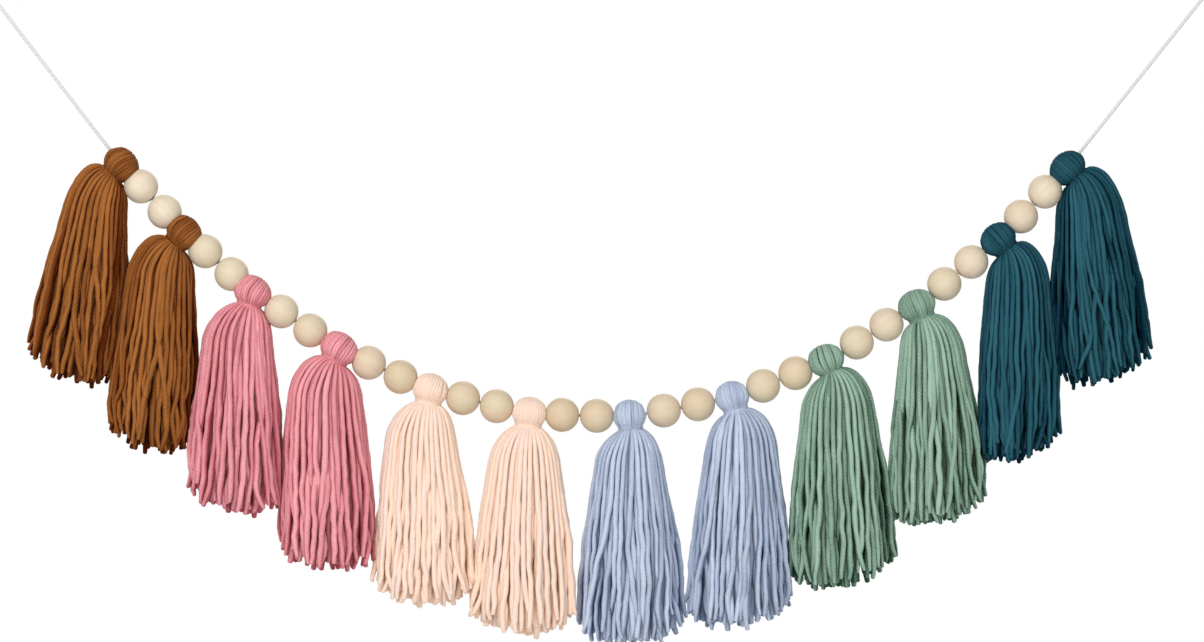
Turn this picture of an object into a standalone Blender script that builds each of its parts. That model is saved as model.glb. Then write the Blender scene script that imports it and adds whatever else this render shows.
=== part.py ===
"""Tassel garland: yarn tassels and wooden beads threaded on one thin cord, hanging in a swag.

Lengths are millimetres and angles are degrees; meshes are scaled to metres as they are made.
The garland hangs in the plane y = 0, with +X to the right along it and +Z up. The origin is
the inside of the left hanging loop, where a hook bears. Every tassel is one solid: a wound
yarn ball, its neck and the locks of its skirt, which stand apart below the neck. Each tie,
bead and loop is a solid of its own, and the cord runs through them all.
"""
import math
import random
from collections import namedtuple

import bmesh
import bpy
from mathutils import Matrix, Vector

MM = 0.001
SEAT_GAP = 0.3
SEAT_ALLOWANCE = 1.1
SMOOTH_ANGLE = 35.0
WELD_DISTANCE = 0.02

# Beads and cord
BEAD_DIAMETER = 20.0
BEAD_BORE = 3.5
BEAD_SIDES = 12
BEAD_BANDS = 5
BEAD_STEP = BEAD_DIAMETER + SEAT_GAP
CORD_DIAMETER = 1.9
CORD_SIDES = 8

# How the cord hangs: its slope drops by a fixed step at each weight that it carries
FIRST_SLOPE = 1.11
END_TASSEL_DROP = 0.20
TASSEL_DROP = 0.15
BEAD_DROP = 0.03
TAIL_LENGTH = 170.0
TAIL_STEPS = 5

# Hanging loops and their knots
LOOP_LENGTH = 25.0
LOOP_WIDTH = 9.2
LOOP_STRAND_GAP = 1.15
LOOP_POINTS = 15
LOOP_INSET = 2.7
KNOT_LENGTH = 8.0
KNOT_RADIUS = 2.9
KNOT_GROOVE = 2.5
KNOT_END = 1.9
KNOT_WRAPS = 3
KNOT_SIDES = 8

# Tassel heads and necks: the ball narrows to the waist, where the tie is, and ends in a flat
# cap that the locks grow from, turned part of the way towards the skirt's own hang
HEAD_SIDES = 14
BALL_BANDS = 5
BALL_RIDGE = 1.035
NECK_TOP_RADIUS = 7.0
WAIST_RADIUS = 6.4
WAIST_DROP = 1.2
CAP_RADIUS = 6.6
CAP_TURN = 0.4
CAP_CLEARANCE = 0.8
TIE_INNER = 6.8
TIE_OUTER = 7.7
TIE_HALF_WIDTH = 1.0
HEAD_BORE = 4.6
HEAD_BORE_SIDES = 6

# Skirts: locks run from their roots on the cap over the dome and shoulder to the hem
OUTER_LOCKS = 18
INNER_LOCKS = 6
LOCK_COVER = 0.84
DOME_DROP = 3.3
DOME_SHARE = 0.76
DOME_OUTER_LOSS = 0.20
DOME_INNER_GAIN = 0.10
SHOULDER_DROP = 14.6
DOME_DEPTH = 0.85
SHOULDER_DEPTH = 0.80
HEM_DEPTH = 0.70
HEM_UNEVEN = 2.5

# One row for each tassel, left to right. ball: diameter of the head. pitch: distance along the
# cord to the next head. neck and lean: tilt of the neck and of the skirt from straight down,
# positive to the right. length: strands below the neck. The rest are half widths of the skirt.
Tassel = namedtuple(
    "Tassel", "yarn ball pitch neck lean length shoulder_left shoulder_right hem_left hem_right")
TASSELS = (
    Tassel("caramel", 22.0, 54.0, -50, -8.5, 122, 20.5, 17.5, 29.0, 21.0),
    Tassel("caramel", 22.0, 53.0, -52, -4.5, 120, 21.0, 19.5, 25.5, 22.0),
    Tassel("rose", 22.5, 60.5, -25, -2.0, 119, 23.5, 18.5, 27.0, 23.5),
    Tassel("rose", 23.0, 58.5, -37, -0.5, 119, 21.5, 23.0, 26.5, 28.0),
    Tassel("peach", 21.0, 59.5, -14, -0.5, 115, 23.5, 18.5, 30.0, 27.5),
    Tassel("peach", 20.5, 58.5, -9, -1.5, 119, 22.0, 20.5, 31.0, 28.5),
    Tassel("lavender", 19.5, 61.0, 3, -1.0, 125, 21.0, 19.5, 29.5, 32.0),
    Tassel("lavender", 20.0, 59.0, 14, 0.0, 125, 18.5, 23.5, 30.5, 30.5),
    Tassel("sage", 21.5, 62.0, 24, 0.0, 123, 20.5, 23.5, 26.5, 32.0),
    Tassel("sage", 22.2, 61.5, 27, 3.0, 118, 18.0, 21.5, 28.0, 26.5),
    Tassel("teal", 21.5, 58.0, 38, 0.5, 121, 17.0, 21.5, 21.5, 24.5),
    Tassel("teal", 22.0, 0.0, 46, 5.5, 119, 19.5, 21.5, 25.0, 28.5),
)

COLOURS = {
    "caramel": (0.40, 0.16, 0.045),
    "rose": (0.74, 0.25, 0.30),
    "peach": (0.93, 0.66, 0.48),
    "lavender": (0.45, 0.52, 0.70),
    "sage": (0.19, 0.37, 0.27),
    "teal": (0.012, 0.11, 0.15),
    "wood": (0.80, 0.65, 0.47),
    "cord": (0.82, 0.81, 0.78),
}
YARN_ROUGHNESS = 0.9
WOOD_ROUGHNESS = 0.55

# A cross-section of a tassel: where it is, which way its strands run, and how far it reaches
Ring = namedtuple("Ring", "centre down left right depth")

# How a lock sits on each ring, from cap to hem: shares of the reach, and how far its inner
# side lies below
LockStation = namedtuple("LockStation", "ridge back sink wedge_back wedge_front wedge_sink")
STATIONS = (
    LockStation(0.86, 0.66, 0.0, 0.52, 0.12, 0.0),
    LockStation(1.0, 0.84, 2.2, 0.62, 0.14, 3.2),
    LockStation(1.0, 0.78, 1.0, 0.66, 0.12, 1.0),
    LockStation(1.0, 0.78, 0.0, 0.66, 0.12, 0.0),
)

# What sits on the cord: its kind, its middle, and the slope of the cord before and after it
Threaded = namedtuple("Threaded", "kind middle slope_before slope_after")


def clear_scene():
    """Remove every object of the open file."""
    for item in list(bpy.data.objects):
        bpy.data.objects.remove(item, do_unlink=True)


def finish(name):
    """Plain material of one yarn, the wood or the cord."""
    material = bpy.data.materials.new(name)
    material.use_nodes = True
    shader = material.node_tree.nodes["Principled BSDF"]
    shader.inputs["Base Color"].default_value = (*COLOURS[name], 1.0)
    shader.inputs["Roughness"].default_value = WOOD_ROUGHNESS if name == "wood" else YARN_ROUGHNESS
    shader.inputs["Metallic"].default_value = 0.0
    return material


def falling(degrees):
    """Unit vector in the hanging plane, tilted from straight down towards +X."""
    angle = math.radians(degrees)
    return Vector((math.sin(angle), 0.0, -math.cos(angle)))


def across(direction):
    """Unit vector in the hanging plane, square to a falling direction, on its right."""
    return Vector((-direction.z, 0.0, direction.x))


def along(slope):
    """Unit vector along the cord to the right, where the cord falls by slope for each unit."""
    return Vector((1.0, 0.0, -slope)).normalized()


def to_object(bm, name, material, parent, location=(0.0, 0.0, 0.0), turn=0.0):
    """Close a mesh off in metres as an object, turned about Y and placed under its parent."""
    bmesh.ops.scale(bm, vec=(MM, MM, MM), verts=bm.verts)
    bmesh.ops.recalc_face_normals(bm, faces=bm.faces)
    mesh = bpy.data.meshes.new(name)
    bm.to_mesh(mesh)
    bm.free()
    mesh.materials.append(material)
    mesh.shade_smooth()
    mesh.set_sharp_from_angle(angle=math.radians(SMOOTH_ANGLE))
    return place(mesh, name, parent, location, turn)


def place(mesh, name, parent, location, turn):
    """Put an object that shows a mesh at a place in millimetres."""
    item = bpy.data.objects.new(name, mesh)
    item.location = Vector(location) * MM
    item.rotation_euler = (0.0, turn, 0.0)
    item.parent = parent
    bpy.context.scene.collection.objects.link(item)
    return item


def as_cutter(item):
    """Mark an object as a tool for Boolean modifiers, which is no part of the garland."""
    item.hide_render = True
    item.display_type = "WIRE"
    return item


def combine(item, tool, operation):
    """Add a Boolean modifier that joins a tool to an object or cuts it away."""
    modifier = item.modifiers.new(operation.lower(), "BOOLEAN")
    modifier.operation = operation
    modifier.solver = "EXACT"
    modifier.object = as_cutter(tool)


def weld(item):
    """Close the hairline splits that cuts can leave where their edges cross."""
    modifier = item.modifiers.new("weld", "WELD")
    modifier.merge_threshold = WELD_DISTANCE * MM


def join_rings(bm, first, second):
    """Faces between two rings of as many points."""
    for side in range(len(first)):
        following = (side + 1) % len(first)
        bm.faces.new((first[side], first[following], second[following], second[side]))


def turned(bm, profile, sides, closed=False):
    """Turn a profile of (radius, height) points about Z, with flat ends unless it is closed."""
    rings = []
    for radius, height in profile:
        ring = []
        for side in range(sides):
            angle = 2.0 * math.pi * side / sides
            ring.append(bm.verts.new((radius * math.cos(angle), radius * math.sin(angle), height)))
        rings.append(ring)
    for first, second in zip(rings, rings[1:]):
        join_rings(bm, first, second)
    if closed:
        join_rings(bm, rings[-1], rings[0])
        return
    bm.faces.new(rings[0])
    bm.faces.new(rings[-1])


def tube(bm, points, radius, sides):
    """Sweep a round section along points of the hanging plane, with flat ends."""
    rings = []
    for index, point in enumerate(points):
        before = points[max(index - 1, 0)]
        after = points[min(index + 1, len(points) - 1)]
        side_way = across((after - before).normalized())
        ring = []
        for side in range(sides):
            angle = 2.0 * math.pi * side / sides
            offset = side_way * math.cos(angle) + Vector((0.0, math.sin(angle), 0.0))
            ring.append(bm.verts.new(point + offset * radius))
        rings.append(ring)
    for first, second in zip(rings, rings[1:]):
        join_rings(bm, first, second)
    bm.faces.new(rings[0])
    bm.faces.new(rings[-1])


def tail_slopes():
    """Slopes of the two straight tails of the cord."""
    beads = 2 * (len(TASSELS) - 1)
    left = FIRST_SLOPE + END_TASSEL_DROP
    inner_drops = TASSEL_DROP * (len(TASSELS) - 2) + BEAD_DROP * beads
    return left, FIRST_SLOPE - inner_drops - END_TASSEL_DROP


def thread_layout():
    """Places of the heads and beads along the cord, from the left loop onwards."""
    slope = tail_slopes()[0]
    middle = along(slope) * TAIL_LENGTH
    threaded = []
    for index, tassel in enumerate(TASSELS):
        at_end = index in (0, len(TASSELS) - 1)
        following = slope - (END_TASSEL_DROP if at_end else TASSEL_DROP)
        threaded.append(Threaded("tassel", middle, slope, following))
        slope = following
        if not tassel.pitch:
            continue
        seat = (tassel.pitch - BEAD_STEP) / 2.0
        for step in (seat, BEAD_STEP):
            middle = middle + along(slope) * step
            threaded.append(Threaded("bead", middle, slope, slope - BEAD_DROP))
            slope -= BEAD_DROP
        middle = middle + along(slope) * seat
    return threaded


def mean_slope(item):
    """Slope of the cord at the middle of a threaded piece."""
    return (item.slope_before + item.slope_after) / 2.0


def bead_profile(scale=1.0):
    """Half outline of a bead about its bore, as (radius, height) points."""
    radius = BEAD_DIAMETER / 2.0
    mouth = math.asin(BEAD_BORE / BEAD_DIAMETER)
    profile = []
    for band in range(BEAD_BANDS + 1):
        angle = mouth + (math.pi - 2.0 * mouth) * band / BEAD_BANDS
        profile.append((radius * scale * math.sin(angle), radius * scale * math.cos(angle)))
    return profile


def bore_turn(item):
    """Rotation about Y that lays a bead's axis along the cord."""
    return math.atan2(1.0, -mean_slope(item))


def make_beads(threaded, garland, material):
    """Wooden beads, each bored through along the cord, which share one mesh."""
    bm = bmesh.new()
    turned(bm, bead_profile(), BEAD_SIDES, closed=True)
    first = to_object(bm, "bead_01", material, garland)
    beads = [item for item in threaded if item.kind == "bead"]
    for number, item in enumerate(beads, start=1):
        turn = bore_turn(item)
        if number == 1:
            first.location = item.middle * MM
            first.rotation_euler = (0.0, turn, 0.0)
            continue
        place(first.data, f"bead_{number:02d}", garland, item.middle, turn)


def waist_start(tassel):
    """Distance from the middle of a head to where its ball meets the neck."""
    radius = tassel.ball / 2.0
    return math.sqrt(radius ** 2 - NECK_TOP_RADIUS ** 2)


def round_ring(centre, down, radius):
    """Circular cross-section."""
    return Ring(centre, down, radius, radius, radius)


def ring_point(ring, angle, share, sink=0.0):
    """Point at a share of a ring's reach, at an angle from its right end, sunk along the strands."""
    reach = ring.right if math.cos(angle) > 0.0 else ring.left
    sideways = across(ring.down) * (reach * share * math.cos(angle))
    inwards = Vector((0.0, ring.depth * share * math.sin(angle), 0.0))
    return ring.centre + sideways + inwards + ring.down * sink


def cap_ring(tassel):
    """End of the neck, clear of the tie all round, about the head's middle."""
    turn = (tassel.lean - tassel.neck) * CAP_TURN
    rise = CAP_RADIUS * abs(math.sin(math.radians(turn)))
    drop = waist_start(tassel) + WAIST_DROP + TIE_HALF_WIDTH + CAP_CLEARANCE + rise
    return round_ring(falling(tassel.neck) * drop, falling(tassel.neck + turn), CAP_RADIUS)


def head_rings(tassel):
    """Cross-sections of the ball and neck about the head's middle, each with its ridge height."""
    radius = tassel.ball / 2.0
    neck = falling(tassel.neck)
    last = math.pi - math.asin(NECK_TOP_RADIUS / radius)
    rings = []
    for band in range(1, BALL_BANDS + 1):
        angle = last * band / BALL_BANDS
        ring = round_ring(-neck * radius * math.cos(angle), neck, radius * math.sin(angle))
        rings.append((ring, BALL_RIDGE))
    waist = neck * (waist_start(tassel) + WAIST_DROP)
    rings.append((round_ring(waist, neck, WAIST_RADIUS), 1.0))
    rings.append((cap_ring(tassel), 1.0))
    return rings


def skirt_rings(tassel):
    """Cross-sections of a skirt at its dome, shoulder and hem, about the head's middle."""
    cap = cap_ring(tassel)
    lean = falling(tassel.lean)
    dome_way = (falling(tassel.neck) + lean).normalized()
    bend = math.sin(math.radians(tassel.neck - tassel.lean))
    tight = DOME_SHARE - DOME_OUTER_LOSS * abs(bend)
    wide = DOME_SHARE + DOME_INNER_GAIN * abs(bend)
    left_share, right_share = (tight, wide) if bend < 0.0 else (wide, tight)
    dome_left = tassel.shoulder_left * left_share
    dome_right = tassel.shoulder_right * right_share
    dome = cap.centre + dome_way * DOME_DROP
    shoulder = dome + lean * SHOULDER_DROP
    hem = shoulder + lean * (tassel.length - (shoulder - cap.centre).dot(lean))
    return (
        Ring(dome, dome_way, dome_left, dome_right, DOME_DEPTH * (dome_left + dome_right) / 2.0),
        Ring(shoulder, lean, tassel.shoulder_left, tassel.shoulder_right,
             SHOULDER_DEPTH * (tassel.shoulder_left + tassel.shoulder_right) / 2.0),
        Ring(hem, lean, tassel.hem_left, tassel.hem_right,
             HEM_DEPTH * (tassel.hem_left + tassel.hem_right) / 2.0),
    )


def outer_section(ring, station, angle, half):
    """Three corners of an outer lock: its ridge and its two back edges."""
    return [
        ring_point(ring, angle, station.ridge),
        ring_point(ring, angle + half, station.back, station.sink),
        ring_point(ring, angle - half, station.back, station.sink),
    ]


def inner_section(ring, station, angle, half):
    """Three corners of an inner lock: a wedge that fills the middle of the skirt."""
    return [
        ring_point(ring, angle, station.wedge_front, station.wedge_sink),
        ring_point(ring, angle + half, station.wedge_back, station.wedge_sink),
        ring_point(ring, angle - half, station.wedge_back, station.wedge_sink),
    ]


def add_lock(bm, sections, length):
    """Add one lock through its sections, cut at its own length, and give back its root corners."""
    middles = [sum(section, Vector()) / len(section) for section in sections]
    used = sum((after - before).length for before, after in zip(middles[:-2], middles[1:-1]))
    last_run = (middles[-1] - middles[-2]).normalized() * (length - used)
    shift = middles[-2] + last_run - middles[-1]
    sections = sections[:-1] + [[corner + shift for corner in sections[-1]]]
    rings = [[bm.verts.new(corner) for corner in section] for section in sections]
    for first, second in zip(rings, rings[1:]):
        join_rings(bm, first, second)
    bm.faces.new(rings[-1])
    return rings[0]


def add_head(bm, tassel):
    """Add the ridged yarn ball and the neck of a tassel, and give back the cap's corners."""
    top = bm.verts.new(-falling(tassel.neck) * tassel.ball / 2.0)
    rings = []
    for ring, ridge in head_rings(tassel):
        corners = []
        for side in range(HEAD_SIDES):
            angle = 2.0 * math.pi * side / HEAD_SIDES
            corners.append(bm.verts.new(ring_point(ring, angle, ridge if side % 2 else 1.0)))
        rings.append(corners)
    for side in range(HEAD_SIDES):
        bm.faces.new((top, rings[0][side], rings[0][(side + 1) % HEAD_SIDES]))
    for first, second in zip(rings, rings[1:]):
        join_rings(bm, first, second)
    return rings[-1]


def tassel_mesh(tassel, seed):
    """Head, neck and all locks of a tassel as one body, about the head's middle."""
    rng = random.Random(seed)
    bm = bmesh.new()
    rings = (cap_ring(tassel),) + skirt_rings(tassel)
    loops = [add_head(bm, tassel)]
    for count, section_of in ((OUTER_LOCKS, outer_section), (INNER_LOCKS, inner_section)):
        half = LOCK_COVER * math.pi / count
        for lock in range(count):
            angle = 2.0 * math.pi * lock / count
            sections = [section_of(ring, station, angle, half)
                        for ring, station in zip(rings, STATIONS)]
            length = tassel.length + rng.uniform(-HEM_UNEVEN, HEM_UNEVEN)
            loops.append(add_lock(bm, sections, length))
    edges = []
    for corners in loops:
        edges += [bm.edges.get(pair) for pair in zip(corners, corners[1:] + corners[:1])]
    bmesh.ops.triangle_fill(bm, edges=edges, use_beauty=True, normal=rings[0].down)
    return bm


def neighbours(threaded, item):
    """Beads that press into a head, one on each side where the garland goes on."""
    index = threaded.index(item)
    beside = [threaded[place] for place in (index - 1, index + 1) if 0 <= place < len(threaded)]
    return [bead for bead in beside if bead.kind == "bead"]


def seat_mesh(item, beads):
    """Bead shapes, a seat's gap larger all round, where they press into a head."""
    inner_reach = math.cos(math.pi / BEAD_SIDES) * math.cos(math.pi / (2.0 * BEAD_BANDS))
    scale = 1.0 + SEAT_ALLOWANCE * SEAT_GAP / (inner_reach * BEAD_DIAMETER / 2.0)
    bm = bmesh.new()
    for bead in beads:
        shape = bmesh.new()
        turned(shape, bead_profile(scale), BEAD_SIDES)
        bmesh.ops.rotate(shape, matrix=Matrix.Rotation(bore_turn(bead), 3, "Y"), verts=shape.verts)
        bmesh.ops.translate(shape, vec=bead.middle - item.middle, verts=shape.verts)
        copied = {vert: bm.verts.new(vert.co) for vert in shape.verts}
        for face in shape.faces:
            bm.faces.new([copied[vert] for vert in face.verts])
        shape.free()
    return bm


def bore_mesh(item, reach):
    """Way of the cord through a head, bent where the head hangs on it."""
    bm = bmesh.new()
    ends = (-along(item.slope_before) * reach, Vector(), along(item.slope_after) * reach)
    tube(bm, ends, HEAD_BORE / 2.0, HEAD_BORE_SIDES)
    return bm


def make_tassels(threaded, garland, materials):
    """Tassels and their neck ties, each tassel pressed in where beads lie against its head."""
    heads = [item for item in threaded if item.kind == "tassel"]
    for number, (item, tassel) in enumerate(zip(heads, TASSELS), start=1):
        material = materials[tassel.yarn]
        name = f"tassel_{number:02d}"
        body = to_object(tassel_mesh(tassel, number), name, material, garland, item.middle)
        seats = seat_mesh(item, neighbours(threaded, item))
        bore = bore_mesh(item, tassel.ball)
        combine(body, to_object(seats, f"{name}_seats", material, garland, item.middle), "DIFFERENCE")
        combine(body, to_object(bore, f"{name}_bore", material, garland, item.middle), "DIFFERENCE")
        weld(body)
        make_tie(item, tassel, number, garland, material)


def make_tie(item, tassel, number, garland, material):
    """Thread wound round the neck of a tassel, as a band that fills its waist."""
    middle = -waist_start(tassel) - WAIST_DROP
    bm = bmesh.new()
    edges = (middle - TIE_HALF_WIDTH, middle + TIE_HALF_WIDTH)
    profile = ((TIE_INNER, middle), (TIE_OUTER, edges[0]), (TIE_OUTER, edges[1]))
    turned(bm, profile, HEAD_SIDES, closed=True)
    to_object(bm, f"tie_{number:02d}", material, garland, item.middle, -math.radians(tassel.neck))


def smooth_route(threaded, left_end, right_end):
    """Points of the cord: through the middle of each step, and rounded past each piece."""
    middles = [left_end] + [item.middle for item in threaded] + [right_end]
    halves = [(a + b) / 2.0 for a, b in zip(middles, middles[1:])]
    first_tail = [left_end.lerp(middles[1], step / TAIL_STEPS) for step in range(TAIL_STEPS)]
    last_tail = [middles[-2].lerp(right_end, (step + 1) / TAIL_STEPS) for step in range(TAIL_STEPS)]
    route = list(first_tail)
    for index, middle in enumerate(middles[1:-1]):
        before = middles[1] if index == 0 else halves[index]
        after = middles[-2] if index == len(threaded) - 1 else halves[index + 1]
        route.append((before + 2.0 * middle + after) / 4.0)
        if index < len(threaded) - 1:
            route.append(after)
    return route + last_tail


def make_cord(threaded, garland, material, right_loop):
    """One cord from knot to knot, through the bore of every piece."""
    slopes = tail_slopes()
    inset = LOOP_LENGTH + KNOT_LENGTH + SEAT_GAP
    left_end = along(slopes[0]) * inset
    right_end = right_loop - along(slopes[1]) * inset
    points = smooth_route(threaded, left_end, right_end)
    curve = bpy.data.curves.new("cord", "CURVE")
    curve.dimensions = "3D"
    spline = curve.splines.new("POLY")
    spline.points.add(len(points) - 1)
    for target, point in zip(spline.points, points):
        target.co = (*(point * MM), 1.0)
    curve.bevel_depth = CORD_DIAMETER / 2.0 * MM
    curve.bevel_resolution = CORD_SIDES // 4
    curve.use_fill_caps = True
    curve.render_resolution_u = 0
    curve.materials.append(material)
    place(curve, "cord", garland, (0.0, 0.0, 0.0), 0.0)


def loop_point(turn_angle):
    """Point of a hanging loop's middle line, with its outer end up and its knot below."""
    width = LOOP_WIDTH * math.sin(turn_angle) * (1.0 - math.cos(turn_angle)) / 2.0
    sideways = width + LOOP_STRAND_GAP * math.cos(turn_angle / 2.0)
    down = (LOOP_LENGTH + LOOP_INSET) * (1.0 + math.cos(turn_angle)) / 2.0
    return Vector((sideways, 0.0, CORD_DIAMETER / 2.0 - down))


def make_loop(name, hook_point, outward, garland, material):
    """Hanging loop of the cord, with the wrapped knot that closes it, pulled outwards."""
    knot = bmesh.new()
    profile = [(KNOT_END, -LOOP_LENGTH)]
    for wrap in range(KNOT_WRAPS):
        crest = -LOOP_LENGTH - KNOT_LENGTH * (wrap + 0.5) / KNOT_WRAPS
        profile.append((KNOT_RADIUS, crest))
        if wrap < KNOT_WRAPS - 1:
            profile.append((KNOT_GROOVE, crest - KNOT_LENGTH / (2.0 * KNOT_WRAPS)))
    profile.append((KNOT_END, -LOOP_LENGTH - KNOT_LENGTH))
    turned(knot, profile, KNOT_SIDES)
    turn = math.atan2(outward.x, outward.z)
    item = to_object(knot, name, material, garland, hook_point, turn)
    strand = bmesh.new()
    angles = [2.0 * math.pi * step / (LOOP_POINTS - 1) for step in range(LOOP_POINTS)]
    tube(strand, [loop_point(angle) for angle in angles], CORD_DIAMETER / 2.0, CORD_SIDES)
    bight = to_object(strand, f"{name}_bight", material, garland, hook_point, turn)
    combine(item, bight, "UNION")


def make_garland():
    """Build the whole garland under one empty."""
    clear_scene()
    garland = place(None, "garland", None, (0.0, 0.0, 0.0), 0.0)
    materials = {name: finish(name) for name in COLOURS}
    threaded = thread_layout()
    slopes = tail_slopes()
    right_loop = threaded[-1].middle + along(slopes[1]) * TAIL_LENGTH
    make_beads(threaded, garland, materials["wood"])
    make_tassels(threaded, garland, materials)
    make_cord(threaded, garland, materials["cord"], right_loop)
    make_loop("loop_left", Vector(), -along(slopes[0]), garland, materials["cord"])
    make_loop("loop_right", right_loop, along(slopes[1]), garland, materials["cord"])


make_garland()
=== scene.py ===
"""Looks of a tassel garland: yarn tassels and wooden beads on one thin cord, hung in a swag.

Sizes are millimetres and angles are degrees, unless a class says otherwise. Meshes are made in
metres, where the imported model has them. Each tassel is a wound head and a skirt of separate
strands. A share runs from 0 to 1, and a rise is where an eased rise starts and how far it goes on.
"""
import logging
import math
from dataclasses import dataclass, field
from enum import Enum
from typing import Iterable

import bpy
import numpy as np
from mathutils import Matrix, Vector


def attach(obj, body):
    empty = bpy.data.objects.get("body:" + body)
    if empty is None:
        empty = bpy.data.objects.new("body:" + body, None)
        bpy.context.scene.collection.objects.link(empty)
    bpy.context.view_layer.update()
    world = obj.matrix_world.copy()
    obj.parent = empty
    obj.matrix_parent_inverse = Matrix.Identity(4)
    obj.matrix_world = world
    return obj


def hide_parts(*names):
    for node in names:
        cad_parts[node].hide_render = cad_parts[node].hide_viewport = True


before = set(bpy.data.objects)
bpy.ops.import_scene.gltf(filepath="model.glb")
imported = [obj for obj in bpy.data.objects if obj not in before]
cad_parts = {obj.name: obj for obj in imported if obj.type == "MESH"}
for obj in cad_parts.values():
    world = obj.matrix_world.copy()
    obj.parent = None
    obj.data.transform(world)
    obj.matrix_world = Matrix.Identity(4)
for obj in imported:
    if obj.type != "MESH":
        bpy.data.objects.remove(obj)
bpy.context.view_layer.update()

MM = 0.001
FULL_TURN = 2.0 * math.pi
Points = np.ndarray
Rng = np.random.Generator
Pair = tuple[float, float]
Triple = tuple[float, float, float]
Colour = Triple
log = logging.getLogger("garland")

YARN_LAYER = "Yarn"
PLACE_LAYER = "Place"
BAKE_LAYER = "OFBake"
YARN_UNIT = 10.0
TOWARDS_VIEWER = np.array((0.0, -1.0, 0.0))
WHITE = (1.0, 1.0, 1.0)
LEAST_DISTANCE = 0.05


class Yarn(Enum):
    """Yarns of the garland, by the names of their finishes."""

    CARAMEL = "caramel"
    ROSE = "rose"
    PEACH = "peach"
    LAVENDER = "lavender"
    SAGE = "sage"
    TEAL = "teal"


class Kind(Enum):
    """What can be threaded on the cord."""

    TASSEL = "tassel"
    BEAD = "bead"


def falling(degrees: float) -> Points:
    """Unit vector in the hanging plane, tilted from straight down towards +X."""
    angle = math.radians(degrees)
    return np.array((math.sin(angle), 0.0, -math.cos(angle)))


def across(direction: Points) -> Points:
    """Unit vector in the hanging plane, square to a falling direction, on its right."""
    return np.array((-direction[2], 0.0, direction[0]))


def unit(vectors: Points) -> Points:
    """Vectors of the same directions with length one."""
    return vectors / np.linalg.norm(vectors, axis=-1, keepdims=True)


def along(slope: float) -> Points:
    """Unit vector along the cord to the right, where it falls by slope for each unit."""
    return unit(np.array((1.0, 0.0, -slope)))


def between(first: Points, second: Points, share: Points) -> Points:
    """Values at a share of the way from the first to the second."""
    return first + (second - first) * share


def eased(values: Points, start: float = 0.0, span: float = 1.0) -> Points:
    """Rise from 0 at the start to 1 a span further on, with level ends."""
    share = np.clip((values - start) / span, 0.0, 1.0)
    return share * share * (3.0 - 2.0 * share)


def smooth_along(paths: Points, pull: float) -> None:
    """Draw the inner points of each path towards their neighbours, in place."""
    paths[:, 1:-1] = paths[:, 1:-1] * (1.0 - pull) + (paths[:, :-2] + paths[:, 2:]) * (pull / 2.0)


def points_at(stations: Points, lengths: Points, line: Points) -> Points:
    """Points of one path at distances from its start, given the distance of each of its own."""
    return np.stack([np.interp(stations, lengths, line[:, axis]) for axis in range(3)], axis=1)


def places(first: Points, second: Points) -> Points:
    """Places on a texture layer, from two arrays of numbers that fit each other."""
    return np.stack(np.broadcast_arrays(first, second), axis=-1)


def lengths_along(paths: Points) -> Points:
    """Distance from its start of every point of each path.

    Args:
        paths: Points of several paths, as (path, point, axis).

    Returns:
        Distances as (path, point).
    """
    steps = np.linalg.norm(np.diff(paths, axis=1), axis=2)
    return np.concatenate((np.zeros((len(paths), 1)), np.cumsum(steps, axis=1)), axis=1)


def added(name: str, data: bpy.types.ID) -> bpy.types.Object:
    """Put a mesh, lamp or camera in the scene.

    Args:
        name: Name of the object.
        data: What it shows.

    Returns:
        The new object.
    """
    item = bpy.data.objects.new(name, data)
    bpy.context.scene.collection.objects.link(item)
    return item


@dataclass(frozen=True)
class TasselSize:
    """Measures of one tassel.

    They are the diameter of its head, the way to the next head, the tilts of the modelled neck and
    the skirt, the length of the strands, and half widths of the skirt at its shoulder and its hem.
    """

    yarn: Yarn
    ball: float
    pitch: float
    neck: float
    lean: float
    length: float
    shoulder_left: float
    shoulder_right: float
    hem_left: float
    hem_right: float


TASSELS = (
    TasselSize(Yarn.CARAMEL, 22.0, 54.0, -50, -8.5, 122, 20.5, 17.5, 29.0, 21.0),
    TasselSize(Yarn.CARAMEL, 22.0, 53.0, -52, -4.5, 120, 21.0, 19.5, 25.5, 22.0),
    TasselSize(Yarn.ROSE, 22.5, 60.5, -25, -2.0, 119, 23.5, 18.5, 29.0, 24.0),
    TasselSize(Yarn.ROSE, 23.0, 58.5, -37, -0.5, 119, 21.5, 23.0, 26.5, 28.0),
    TasselSize(Yarn.PEACH, 21.0, 59.5, -14, -0.5, 115, 23.5, 18.5, 30.0, 27.5),
    TasselSize(Yarn.PEACH, 20.5, 58.5, -9, -1.5, 119, 22.0, 20.5, 31.0, 28.5),
    TasselSize(Yarn.LAVENDER, 19.5, 61.0, 3, -1.0, 125, 21.0, 19.5, 29.5, 32.0),
    TasselSize(Yarn.LAVENDER, 20.0, 59.0, 14, 0.0, 125, 18.5, 23.5, 30.5, 30.5),
    TasselSize(Yarn.SAGE, 21.5, 62.0, 24, 0.0, 123, 20.5, 23.5, 26.5, 32.0),
    TasselSize(Yarn.SAGE, 22.2, 61.5, 27, 3.0, 118, 18.0, 21.5, 28.0, 26.5),
    TasselSize(Yarn.TEAL, 21.5, 58.0, 38, 0.5, 121, 17.0, 21.5, 21.5, 24.5),
    TasselSize(Yarn.TEAL, 22.0, 0.0, 46, 5.5, 119, 19.5, 21.5, 25.0, 28.5),
)


@dataclass(frozen=True)
class Neck:
    """How a head is drawn: the tilt of its winding, and its neck's tilt, distance and radius."""

    winding: float
    tilt: float
    waist: float
    radius: float

    def way(self) -> Points:
        """The way the neck points."""
        return falling(self.tilt)


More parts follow.
